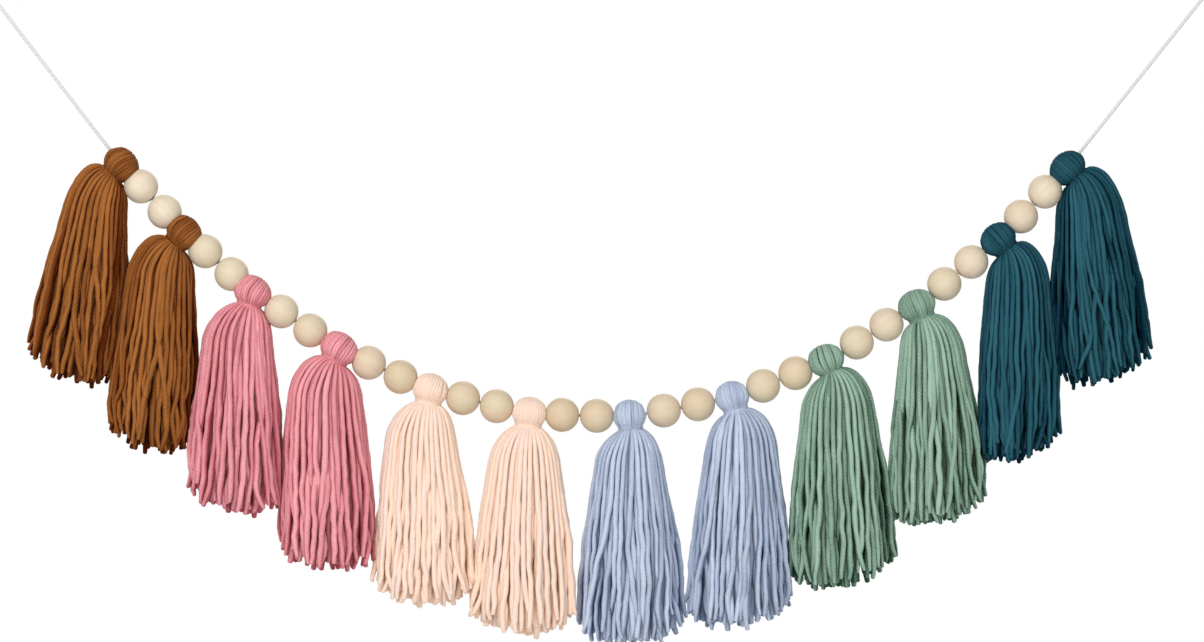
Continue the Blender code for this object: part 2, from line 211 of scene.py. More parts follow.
NECKS = (
    Neck(-57, -46, 7.3, 8.2),
    Neck(-50, -41, 8.2, 8.0),
    Neck(-35, -17.5, 8.0, 8.0),
    Neck(-38, -26, 7.8, 8.8),
    Neck(-22, -11, 7.8, 8.4),
    Neck(-8, -6, 7.7, 8.5),
    Neck(2, 5, 7.7, 7.8),
    Neck(8, 16, 8.1, 7.9),
    Neck(17, 25, 7.4, 7.8),
    Neck(20, 23.5, 7.9, 8.6),
    Neck(38, 39.5, 7.8, 8.2),
    Neck(46, 44, 6.8, 8.3),
)


@dataclass(frozen=True)
class SkirtWay:
    """How the strands of one yarn hang.

    The strands lie in shells, each with a count and a reach, outermost first. Swings are slow waves
    of a strand, as a width and a number of waves. Tufting draws strands together at the hem,
    crossing is the share that crosses others, and inner strands are thicker by their bulk.
    """

    counts: tuple[int, ...]
    strand_radius: float
    tufting: float = 0.16
    crossing: float = 0.16
    inner_bulk: float = 1.22
    swings: tuple[Pair, ...] = ((2.6, 0.55), (1.3, 1.5), (0.35, 3.4))
    reaches: tuple[float, ...] = (0.97, 0.86, 0.66, 0.44, 0.2)


SKIRT_WAYS = {
    Yarn.CARAMEL: SkirtWay((32, 34, 24, 14, 7), 1.68),
    Yarn.ROSE: SkirtWay((29, 31, 22, 14, 7), 1.8),
    Yarn.PEACH: SkirtWay((34, 38, 28, 20, 10), 1.74, tufting=0.05, crossing=0.1, inner_bulk=1.32,
                         swings=((2.0, 0.55), (1.0, 1.5), (0.35, 3.4)),
                         reaches=(0.97, 0.87, 0.68, 0.46, 0.22)),
    Yarn.LAVENDER: SkirtWay((32, 34, 24, 14, 7), 1.68),
    Yarn.SAGE: SkirtWay((33, 35, 24, 14, 7), 1.68),
    Yarn.TEAL: SkirtWay((34, 37, 26, 16, 8), 1.6),
}


@dataclass
class Threaded:
    """A piece on the cord: its kind, its middle and the cord's slope before and after it."""

    kind: Kind
    middle: Points
    slope_before: float
    slope_after: float

    def mean_slope(self) -> float:
        """Slope of the cord at the middle of the piece."""
        return (self.slope_before + self.slope_after) / 2.0


@dataclass
class Swag:
    """How the cord hangs between its two hooks, and where each piece sits on it."""

    first_slope: float = 1.11
    end_tassel_drop: float = 0.20
    tassel_drop: float = 0.15
    bead_drop: float = 0.03
    tail_length: float = 170.0
    tail_steps: int = 5
    bead_step: float = 20.3
    loop_length: float = 25.0
    knot_length: float = 8.0
    seat_gap: float = 0.3

    def tail_slopes(self) -> Pair:
        """Slopes of the two straight tails of the cord.

        Returns:
            The left one, and the right one, which rises.
        """
        beads = 2 * (len(TASSELS) - 1)
        inner = self.tassel_drop * (len(TASSELS) - 2) + self.bead_drop * beads
        left = self.first_slope + self.end_tassel_drop
        return left, self.first_slope - inner - self.end_tassel_drop

    def thread(self) -> list[Threaded]:
        """Places of the heads and beads along the cord, from the left hook onwards.

        Returns:
            The threaded pieces in their order.
        """
        slope = self.tail_slopes()[0]
        middle = along(slope) * self.tail_length
        threaded = []
        for index, tassel in enumerate(TASSELS):
            at_end = index in (0, len(TASSELS) - 1)
            following = slope - (self.end_tassel_drop if at_end else self.tassel_drop)
            threaded.append(Threaded(Kind.TASSEL, middle, slope, following))
            slope = following
            if not tassel.pitch:
                continue
            seat = (tassel.pitch - self.bead_step) / 2.0
            for step in (seat, self.bead_step):
                middle = middle + along(slope) * step
                threaded.append(Threaded(Kind.BEAD, middle, slope, slope - self.bead_drop))
                slope -= self.bead_drop
            middle = middle + along(slope) * seat
        return threaded

    def right_hook(self, threaded: list[Threaded]) -> Points:
        """Where the right hook bears."""
        return threaded[-1].middle + along(self.tail_slopes()[1]) * self.tail_length

    def route(self, threaded: list[Threaded]) -> Points:
        """Middle line of the cord from knot to knot, rounded past each piece.

        Args:
            threaded: The pieces on the cord.

        Returns:
            Points of the line, in millimetres.
        """
        slopes = self.tail_slopes()
        inset = self.loop_length + self.knot_length + self.seat_gap
        left_end = along(slopes[0]) * inset
        right_end = self.right_hook(threaded) - along(slopes[1]) * inset
        middles = [left_end] + [item.middle for item in threaded] + [right_end]
        halves = [(a + b) / 2.0 for a, b in zip(middles, middles[1:])]
        shares = [step / self.tail_steps for step in range(self.tail_steps + 1)]
        route = [between(left_end, middles[1], share) for share in shares[:-1]]
        for index, middle in enumerate(middles[1:-1]):
            before = middles[1] if index == 0 else halves[index]
            after = middles[-2] if index == len(threaded) - 1 else halves[index + 1]
            route.append((before + 2.0 * middle + after) / 4.0)
            if index < len(threaded) - 1:
                route.append(after)
        route += [between(middles[-2], right_end, share) for share in shares[1:]]
        return np.array(route)


@dataclass
class Camera:
    """Camera straight in front of the garland, which frames what the photograph shows."""

    middle: Pair = (384.0, -227.0)
    distance: float = 1957.0
    lens: float = 100.0
    sensor: float = 36.0
    roll: float = 0.13

    def place(self) -> None:
        """Put the camera in the scene and make it the active one."""
        camera = bpy.data.cameras.new("view")
        camera.lens = self.lens
        camera.sensor_width = self.sensor
        item = added("view", camera)
        item.location = Vector((self.middle[0], -self.distance, self.middle[1])) * MM
        item.rotation_euler = (math.radians(90.0), math.radians(self.roll), 0.0)
        bpy.context.scene.camera = item


class Graph:
    """Node tree of a material or sky, with one method that adds any node."""

    MIX_INPUTS = (0, 6, 7)
    MIX_RESULT = 2

    def __init__(self, owner: bpy.types.Material | bpy.types.World, shader: str) -> None:
        """Start from the node that the finished tree feeds.

        Args:
            owner: The material or sky.
            shader: Name of that node.
        """
        owner.use_nodes = True
        self.nodes = owner.node_tree.nodes
        self.links = owner.node_tree.links
        self.shader = self.nodes[shader]

    def node(self, kind: str, settings: dict[str, object] | None = None,
             values: dict[str | int, object] | None = None, output: str | int = 0) -> "Signal":
        """Add one node.

        Args:
            kind: Type of the node, without its ShaderNode prefix.
            settings: What is set on the node before its sockets, such as its operation.
            values: Numbers, colours or signals for its inputs, by name or number.
            output: The output that is given back.

        Returns:
            The chosen output as a signal.
        """
        item = self.nodes.new("ShaderNode" + kind)
        for name, value in (settings or {}).items():
            setattr(item, name, value)
        for name, value in (values or {}).items():
            self.feed(item.inputs[name], value)
        return Signal(self, item.outputs[output])

    def feed(self, socket: bpy.types.NodeSocket, value: object) -> None:
        """Link a signal to an input, or set the input's own value.

        Args:
            socket: The input.
            value: A signal, a number, or a colour of three numbers.
        """
        if isinstance(value, Signal):
            self.links.new(value.socket, socket)
        elif socket.type == "RGBA":
            socket.default_value = (*value, 1.0)
        else:
            socket.default_value = value

    def layer(self, name: str) -> list["Signal"]:
        """Both numbers that a texture layer of the mesh holds."""
        place = self.node("UVMap", {"uv_map": name})
        return [self.node("SeparateXYZ", None, {0: place}, axis) for axis in (0, 1)]

    def mix(self, factor: object, first: object, second: object, blend: str = "MIX") -> "Signal":
        """Blend two colours.

        Args:
            factor: Share of the second colour.
            first: Colour at a factor of nought.
            second: Colour at a factor of one.
            blend: How they blend, by Blender's name.

        Returns:
            The blended colour.
        """
        settings = {"data_type": "RGBA", "blend_type": blend, "clamp_factor": True}
        inputs = dict(zip(self.MIX_INPUTS, (factor, first, second)))
        return self.node("Mix", settings, inputs, self.MIX_RESULT)

    def surface(self, **values: object) -> None:
        """Feed inputs of the last node.

        Args:
            values: What each input gets, by its name with spaces left out.
        """
        for socket in self.shader.inputs:
            name = socket.name.replace(" ", "")
            if name in values:
                self.feed(socket, values[name])


class Signal:
    """An output socket that takes part in sums, by Math nodes for numbers."""

    def __init__(self, graph: Graph, socket: bpy.types.NodeSocket) -> None:
        """Wrap one output of a graph."""
        self.graph = graph
        self.socket = socket

    def join(self, operation: str, first: object, second: object) -> "Signal":
        """Combine two operands by one node.

        Args:
            operation: Name of the operation, as Math and Vector Math have it.
            first: Left operand.
            second: Right operand.

        Returns:
            The result.
        """
        kind = {"VECTOR": "VectorMath", "RGBA": "Mix"}.get(self.socket.type, "Math")
        if kind == "Mix":
            return self.graph.mix(1.0, first, second, operation)
        return self.graph.node(kind, {"operation": operation}, {0: first, 1: second})

    def __add__(self, other: object) -> "Signal":
        """Sum with another operand."""
        return self.join("ADD", self, other)

    def __radd__(self, other: object) -> "Signal":
        """Sum with an operand on the left."""
        return self.join("ADD", other, self)

    def __sub__(self, other: object) -> "Signal":
        """Difference from another operand."""
        return self.join("SUBTRACT", self, other)

    def __rsub__(self, other: object) -> "Signal":
        """Difference from an operand on the left."""
        return self.join("SUBTRACT", other, self)

    def __mul__(self, other: object) -> "Signal":
        """Product with another operand."""
        return self.join("MULTIPLY", self, other)

    def __rmul__(self, other: object) -> "Signal":
        """Product with an operand on the left."""
        return self.join("MULTIPLY", other, self)

    def apply(self, operation: str) -> "Signal":
        """Result of a Math operation with one operand."""
        return self.graph.node("Math", {"operation": operation}, {0: self})

    def held(self) -> "Signal":
        """Value kept between nought and one."""
        return self.graph.node("Clamp", None, {0: self})


FIBRE_NOISE = {"Scale": 2.6, "Detail": 5.0, "Roughness": 0.7}
BLOTCH_NOISE = {"Scale": 1.0, "Detail": 2.0}
DRIFT_NOISE = {"Scale": 1.1, "Detail": 2.0}
PORE_NOISE = {"Scale": 14.0, "Detail": 6.0, "Roughness": 0.7}
TINGE_NOISE = {"Scale": 0.7, "Detail": 1.0}


@dataclass(frozen=True)
class YarnFinish:
    """Soft plied yarn: strands differ a little in tone, and the gaps between them are darkened as
    painted shade.

    Each tone says how far its pattern takes the yarn from its low colour to its light one, and the
    last three of them take it back: an even offset, then the depth and gap values, which paint shade
    into the colour (in the peach, painted light that lifts its gaps); the depth value also carries
    random tone. The tone of the twist grooves paints shade between the plies. Paces are for a
    centimetre of strand, the turn length is in centimetres, and the steps set one strand's patterns
    apart from the next one's.
    """

    slot: str
    light: Colour
    # colour at the low end of the level: the strands' lower random tone, and where painted shade leads
    deep: Colour
    tint: Colour
    strand_tone: float = 0.36
    fibre_tone: float = 0.95
    # painted shade in the grooves between the plies
    groove_shade_tone: float = 0.17
    blotch_tone: float = 0.5
    floor_tone: float = 0.155
    # painted shade: the depth value darkens strands inside the bundle and tucked behind a neighbour
    depth_shade_tone: float = 0.7
    # painted shade on strand sides that turn into the gaps between strands
    gap_shade_tone: float = 0.9
    tint_share: float = 0.6
    plies: int = 3
    turn_length: float = 0.66
    fibre_pace: float = 2.1
    fibre_step: float = 3.7
    blotch_pace: float = 0.5
    blotch_step: float = 5.3
    hue_step: float = 0.37
    twist_height: float = 0.6
    fibre_height: float = 0.8
    bump_strength: float = 0.6
    bump_depth: float = 0.4
    roughness: float = 0.92
    sheen: float = 0.05
    sheen_roughness: float = 0.5
    specular: float = 0.05

    def material(self) -> bpy.types.Material:
        """Make the material.

        Returns:
            The yarn's material, which reads the layers that the strands bring.
        """
        material = bpy.data.materials.new(f"yarn_{self.slot}")
        graph = Graph(material, "Principled BSDF")
        strand, length = graph.layer(YARN_LAYER)
        depth, gap = graph.layer(PLACE_LAYER)
        number = strand.apply("FLOOR")
        angle = (strand.apply("FRACT") + length * (1.0 / self.turn_length)) * FULL_TURN
        groove = (angle * (self.plies / 2.0)).apply("SINE").apply("ABSOLUTE")
        spiral = graph.node("CombineXYZ", None, {
            0: angle.apply("COSINE") + number * self.fibre_step,
            1: angle.apply("SINE"),
            2: length * self.fibre_pace,
        })
        fibres = graph.node("TexNoise", None, {"Vector": spiral, **FIBRE_NOISE})
        run = graph.node("CombineXYZ", None, {
            0: number * self.blotch_step, 1: length * self.blotch_pace})
        blotch = graph.node("TexNoise", {"noise_dimensions": "2D"}, {"Vector": run, **BLOTCH_NOISE})
        tone, hue = (graph.node("TexWhiteNoise", {"noise_dimensions": "1D"}, {"W": value})
                     for value in (number, number + self.hue_step))
        # the groove, depth and gap terms paint shade into the base colour; depth also holds random tone
        level = (tone * self.strand_tone + fibres * self.fibre_tone + groove * self.groove_shade_tone
                 + blotch * self.blotch_tone - self.floor_tone - depth * self.depth_shade_tone
                 - gap * self.gap_shade_tone)
        colour = graph.mix(level.held(), self.deep, self.light)
        colour = graph.mix(hue * self.tint_share, colour, colour * self.tint)
        bump = graph.node("Bump", None, {
            "Strength": self.bump_strength, "Distance": self.bump_depth * MM,
            "Height": groove * self.twist_height + fibres * self.fibre_height})
        graph.surface(BaseColor=colour, Roughness=self.roughness, Normal=bump, SheenWeight=self.sheen,
                      SheenRoughness=self.sheen_roughness, SpecularIORLevel=self.specular)
        return material


@dataclass(frozen=True)
class WoodFinish:
    """Pale turned wood, sanded smooth, with soft grain, and painted shade that darkens the hole mouths.

    The grain is measured in radii of a bead, and the bump in millimetres. Seed steps set one bead's
    grain apart from the next one's.
    """

    pale: Colour = (0.73, 0.65, 0.505)
    grain: Colour = (0.64, 0.53, 0.375)
    tan: Colour = (0.60, 0.475, 0.295)
    blush: Colour = (1.03, 0.975, 1.0)
    # colour of the painted shade in the hole mouths
    mouth: Colour = (0.13, 0.065, 0.03)
    seed_steps: Triple = (7.1, 3.3, 2.0)
    grain_stretch: float = 0.28
    ring_slopes: Pair = (0.8, 0.35)
    ring_drift: float = 1.2
    ring_count: float = 1.9
    ring_tone: float = 0.14
    pore_tone: float = 0.5
    drift_tone: float = 0.5
    floor_tone: float = 0.25
    tan_share: float = 0.9
    blush_start: float = 0.4
    blush_gain: float = 4.0
    # reach, steepness and strength of the painted shade at the hole mouths
    mouth_reach: float = 0.30
    mouth_gain: float = 9.0
    mouth_shade_share: float = 0.9
    pore_height: float = 0.7
    ring_height: float = 0.12
    bump_strength: float = 0.25
    bump_depth: float = 0.12
    roughness: float = 0.48
    pore_roughness: float = 0.16
    specular: float = 0.35

    def material(self) -> bpy.types.Material:
        """Make the material.

        Returns:
            The wood's material, which reads each bead's own places.
        """
        material = bpy.data.materials.new("turned_wood")
        graph = Graph(material, "Principled BSDF")
        x, y = graph.layer(YARN_LAYER)
        z, mark = graph.layer(PLACE_LAYER)
        seed, tanned = mark.apply("FLOOR"), mark.apply("FRACT")
        step_x, step_y, step_ring = self.seed_steps
        spot = graph.node("CombineXYZ", None, {
            0: x + seed * step_x, 1: y + seed * step_y, 2: z * self.grain_stretch})
        drift, pores, tinge = (graph.node("TexNoise", None, {"Vector": spot, **noise})
                               for noise in (DRIFT_NOISE, PORE_NOISE, TINGE_NOISE))
        slope_x, slope_y = self.ring_slopes
        way = x * slope_x + y * slope_y + seed * step_ring + drift * self.ring_drift
        rings = (way * (FULL_TURN * self.ring_count)).apply("SINE")
        level = rings * self.ring_tone + pores * self.pore_tone + drift * self.drift_tone
        colour = graph.mix((level - self.floor_tone).held(), self.pale, self.grain)
        colour = graph.mix(tanned * self.tan_share, colour, self.tan)
        blushing = ((tinge - self.blush_start) * self.blush_gain).held()
        colour = graph.mix(blushing, colour, colour * self.blush)
        # painted shade in the hole mouths, near the bore
        from_axis = (x * x + y * y).apply("SQRT")
        mouth_shade_mask = ((self.mouth_reach - from_axis) * self.mouth_gain).held()
        colour = graph.mix(mouth_shade_mask * self.mouth_shade_share, colour, self.mouth)
        bump = graph.node("Bump", None, {
            "Strength": self.bump_strength, "Distance": self.bump_depth * MM,
            "Height": pores * self.pore_height + rings * self.ring_height})
        graph.surface(BaseColor=colour, Roughness=self.roughness + pores * self.pore_roughness,
                      Normal=bump, SpecularIORLevel=self.specular)
        return material


YARN_FINISHES = {
    Yarn.CARAMEL: YarnFinish("caramel", (0.37, 0.139, 0.0345), (0.08, 0.012, 0.0004), (1.0, 0.9, 0.8),
                             sheen=0.02),
    Yarn.ROSE: YarnFinish("rose", (0.875, 0.373, 0.403), (0.43, 0.083, 0.103), (0.97, 1.0, 1.06),
                          groove_shade_tone=0.13, depth_shade_tone=0.38),
    # the peach's low colour is brighter and warmer than its light one: painted light that lifts its gaps
    Yarn.PEACH: YarnFinish("peach", (0.835, 0.665, 0.575), (0.97, 0.70, 0.53), (1.0, 1.02, 1.05),
                           groove_shade_tone=0.12, gap_shade_tone=1.0),
    Yarn.LAVENDER: YarnFinish("lavender", (0.54, 0.62, 0.755), (0.17, 0.225, 0.345), (1.04, 0.98, 1.0),
                              depth_shade_tone=0.36, gap_shade_tone=0.8),
    Yarn.SAGE: YarnFinish("sage", (0.33, 0.495, 0.385), (0.028, 0.08, 0.048), (1.06, 1.0, 1.04),
                          depth_shade_tone=0.5),
    Yarn.TEAL: YarnFinish("teal", (0.027, 0.115, 0.151), (0.0002, 0.015, 0.029), (0.9, 0.96, 1.0),
                          sheen=0.0),
}
CORD_FINISH = YarnFinish("cord", (0.72, 0.715, 0.705), (0.58, 0.575, 0.56), WHITE, turn_length=0.9)


@dataclass
class Surface:
    """Faces gathered into one mesh, with their places on the texture layers."""

    points: list[Points] = field(default_factory=list)
    faces: list[list[int]] = field(default_factory=list)
    layers: dict[str, list[Points]] = field(default_factory=dict)
    count: int = 0

    def add(self, points: Points, groups: Iterable[tuple[Points, dict[str, Points]]]) -> None:
        """Add points and the faces between them.

        Args:
            points: Points in millimetres.
            groups: Faces of one number of corners, and the place of each corner on each layer.
        """
        for faces, layers in groups:
            self.faces.extend((faces.reshape(-1, faces.shape[-1]) + self.count).tolist())
            for name, spots in layers.items():
                self.layers.setdefault(name, []).append(spots.reshape(-1, 2))
        self.points.append(points.reshape(-1, 3))
        self.count += len(self.points[-1])

    def piece(self, name: str, material: bpy.types.Material, slot: str, *nodes: str) -> bpy.types.Object:
        """Make the object of the mesh, hang it under the root body and hide the CAD nodes that it replaces.

        Args:
            name: Name of the piece.
            material: Its finish.
            slot: Not used.
            nodes: CAD nodes that it takes the place of.

        Returns:
            The new object.
        """
        mesh = bpy.data.meshes.new(name)
        mesh.from_pydata((np.concatenate(self.points) * MM).tolist(), [], self.faces)
        for layer, spots in self.layers.items():
            target = mesh.uv_layers.new(name=layer)
            target.uv.foreach_set("vector", np.concatenate(spots).ravel())
        mesh.materials.append(material)
        mesh.shade_smooth()
        item = added(name, mesh)
        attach(item, "root")
        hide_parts(*nodes)
        log.info("%s: %d faces", name, len(mesh.polygons))
        return item


@dataclass
class BakeGrid:
    """Columns of a texture map, one for each run of a strand, with margins inside each."""

    columns: int
    rows: int
    used: int = 0
    margins: Pair = (0.08, 0.08 / 6.0)

    def take(self, count: int) -> Points:
        """Corners of the next columns.

        Args:
            count: How many columns are taken.

        Returns:
            Low and high corners as (column, 4).
        """
        per_row = math.ceil(self.columns / self.rows)
        order = np.arange(self.used, self.used + count)
        self.used += count
        low = np.stack((order % per_row, order // per_row), axis=1).astype(float)
        size = np.array((1.0 / per_row, 1.0 / self.rows))
        edge = np.array(self.margins)
        return np.concatenate(((low + edge) * size, (low + 1.0 - edge) * size), axis=1)


def in_boxes(boxes: Points, over: Points, up: Points) -> Points:
    """Places in boxes of the texture map, at shares of their widths and heights."""
    return places(between(boxes[..., 0], boxes[..., 2], over), between(boxes[..., 1], boxes[..., 3], up))


@dataclass
class Strands:
    """Closed round strands made alike, each with its line, radii and a depth value that darkens its colour:
    painted shade, with some random tone.

    Lines are (strand, point, axis), and there is a radius for each point or each corner of its
    ring. Where a side of a strand faces less far out from the hub, the middle of the bundle, than
    the rim, a cosine, it lies in a gap, and its colour there is darkened as painted shade. Domes
    close both ends, by shares of the radius. Strands that are near another bundle give way to it,
    by a push that leans forward.
    """

    paths: Points
    radii: Points
    depth: Points
    sides: int
    hub: Points | None = None
    rim: float = 0.7
    domes: Pair = (0.2, 0.25)
    seam_margin: float = 0.01
    cap_share: float = 0.03
    nudge: float = 0.01
    near: float = 6.0
    forward: float = 0.8
    push: float = 1.2
    smoothing: int = 3

    def frames(self) -> tuple[Points, Points]:
        """Directions of the strands and of the corners of their rings.

        Returns:
            Tangents as (strand, point, axis), and ways out as (strand, point, corner, axis).
        """
        tangents = unit(np.gradient(self.paths, axis=1))
        normals = np.empty_like(self.paths)
        previous = np.broadcast_to(TOWARDS_VIEWER + self.nudge, self.paths[:, 0].shape)
        for step in range(self.paths.shape[1]):
            tangent = tangents[:, step]
            previous = unit(previous - tangent * np.sum(previous * tangent, axis=1, keepdims=True))
            normals[:, step] = previous
        angles = FULL_TURN * np.arange(self.sides) / self.sides
        ring = (np.cos(angles)[:, None] * normals[:, :, None, :]
                + np.sin(angles)[:, None] * np.cross(tangents, normals)[:, :, None, :])
        return tangents, ring

    def shade(self, ring: Points) -> Points:
        """How far into a gap every corner of the rings lies, which darkens its colour as painted shade, with
        the first one also at the end.

        Args:
            ring: Ways out as (strand, point, corner, axis).

        Returns:
            Shades as (strand, point, corner).
        """
        shade = np.zeros((*ring.shape[:2], self.sides + 1))
        if self.hub is not None:
            facing = np.einsum("spka,spa->spk", ring, unit(self.paths - self.hub))
            shade[..., :-1] = np.clip(self.rim - facing, 0.0, 1.0)
            shade[..., -1] = shade[..., 0]
        return shade

    def add_to(self, surface: Surface, grid: BakeGrid, number: int, folds: int = 1) -> None:
        """Add the strands to a surface.

        Args:
            surface: Where they are added.
            grid: Texture columns that the strands take.
            number: Number of the first strand, which tells the yarn's tones apart.
            folds: Runs that each strand is cut into on the texture map.
        """
        strands, steps, _ = self.paths.shape
        sides = self.sides
        tangents, ring = self.frames()
        reach = self.radii[..., None] if self.radii.ndim == 2 else self.radii
        skin = self.paths[:, :, None, :] + ring * reach[..., None]
        mean_reach = reach.mean(axis=2)
        start = self.paths[:, 0] - tangents[:, 0] * mean_reach[:, :1] * self.domes[0]
        end = self.paths[:, -1] + tangents[:, -1] * mean_reach[:, -1:] * self.domes[1]
        points = np.concatenate((skin.reshape(strands, -1, 3), start[:, None], end[:, None]), axis=1)

        turn = np.arange(sides + 1) / sides
        share = np.arange(steps) / (steps - 1.0) * folds
        run = np.minimum(share[:-1].astype(int), folds - 1)
        step_at = np.arange(steps - 1)[:, None, None] + np.array((0, 0, 1, 1))
        side_at = np.arange(sides)[:, None] + np.array((0, 1, 1, 0))
        size = points.shape[1]
        base = (np.arange(strands) * size)[:, None, None]
        numbers = (number + np.arange(strands))[:, None, None] + self.seam_margin
        lengths = lengths_along(self.paths) / YARN_UNIT
        columns = grid.take(strands * folds).reshape(strands, folds, 4)
        inside = 1.0 - 2.0 * self.seam_margin
        up = self.cap_share + (1.0 - 2.0 * self.cap_share) * (share[step_at] - run[:, None, None])
        groups = [(base[..., None] + step_at * sides + side_at % sides, {
            YARN_LAYER: places(numbers[..., None] + inside * turn[side_at], lengths[:, step_at]),
            # Place layer: the depth value and how far each corner lies in a gap, both painted shade for the
            # colour
            PLACE_LAYER: places(self.depth[:, None, None, None], self.shade(ring)[:, step_at, side_at]),
            BAKE_LAYER: in_boxes(columns[:, run][:, :, None, None], turn[side_at], up),
        })]
        for at_end in (0, 1):
            pair = side_at[:, (0, 1) if at_end else (1, 0)]
            tip = np.broadcast_to(base + size - 2 + at_end, (strands, sides, 1))
            over = np.concatenate((turn[pair].mean(axis=1, keepdims=True), turn[pair]), axis=1)
            up = np.abs(at_end - np.array((0.0, self.cap_share, self.cap_share)))
            faces = np.concatenate((tip, base + (steps - 1) * sides * at_end + pair % sides), axis=2)
            groups.append((faces, {
                YARN_LAYER: places(numbers + inside * over, lengths[:, -at_end, None, None]),
                PLACE_LAYER: places(self.depth[:, None, None], np.zeros(faces.shape)),
                BAKE_LAYER: in_boxes(columns[:, -at_end, None, None], over, up),
            }))
        surface.add(points, groups)

    def part_from(self, front: "Strands") -> None:
        """Push strands apart where they touch, these to the back and the others to the front.

        Args:
            front: The strands in front.
        """
        sideways = self.paths[..., 0], front.paths[..., 0]
        low = max(spots.min() for spots in sideways) - self.near
        high = min(spots.max() for spots in sideways) + self.near
        own, other = (np.nonzero((spots > low) & (spots < high)) for spots in sideways)
        if not len(own[0]) or not len(other[0]):
            return
        gap = self.paths[own][:, None] - front.paths[other][None]
        distance = np.maximum(np.linalg.norm(gap, axis=2), LEAST_DISTANCE)
        short = np.maximum(0.0, self.radii[own][:, None] + front.radii[other] - distance)
        if not short.any():
            return
        way = unit(gap / distance[..., None] - TOWARDS_VIEWER * self.forward)
        for bundle, near, axis, half in ((self, own, 1, 0.5), (front, other, 0, -0.5)):
            push = np.zeros_like(bundle.paths)
            deepest = short.argmax(axis=axis)
            each = np.arange(len(deepest))
            pick = (each, deepest) if axis == 1 else (deepest, each)
            push[near] = way[pick] * short[pick][:, None] * half
            for _ in range(self.smoothing):
                smooth_along(push, 0.5)
            bundle.paths += push * self.push


@dataclass(frozen=True)
class Winding:
    """Thread wound round an axis in a few turns, with a share of it tucked in at each end."""

    turns: int
    turn_steps: int
    tucked: float
    inner: float
    rise: float

    def line(self, start: Points, way: Points, at: float, length: float, before: float = 0.0) -> Points:
        """Middle line of the thread.

        Args:
            start: A point on the axis.
            way: Direction of the axis.
            at: How far along the axis the winding lies.
            length: How much of the axis it covers.
            before: Share of that length that lies nearer.

        Returns:
            Points of the line.
        """
        share = np.linspace(0.0, 1.0, self.turn_steps * self.turns)
        angle = FULL_TURN * self.turns * share
        ends = np.minimum(1.0, np.minimum(share, 1.0 - share) / self.tucked)
        reach = self.inner + self.rise * np.sqrt(ends)
        distance = at + (share - before) * length
        return (start + way * distance[:, None] + across(way) * (reach * np.cos(angle))[:, None]
                - TOWARDS_VIEWER * (reach * np.sin(angle))[:, None])


@dataclass
class Ring:
    """Cross-section of a skirt: its middle, the way its strands run, and its reach."""

    centre: Points
    down: Points
    left: float
    right: float
    depth: float

    def spot(self, disc: Points) -> Points:
        """Place points of the unit disc on the ring.

        Args:
            disc: Points of the disc, as (right, back).

        Returns:
            Places as (point, axis).
        """
        reach = np.where(disc[:, :1] > 0.0, self.right, self.left)
        return (self.centre + across(self.down) * disc[:, :1] * reach
                - TOWARDS_VIEWER * disc[:, 1:] * self.depth)


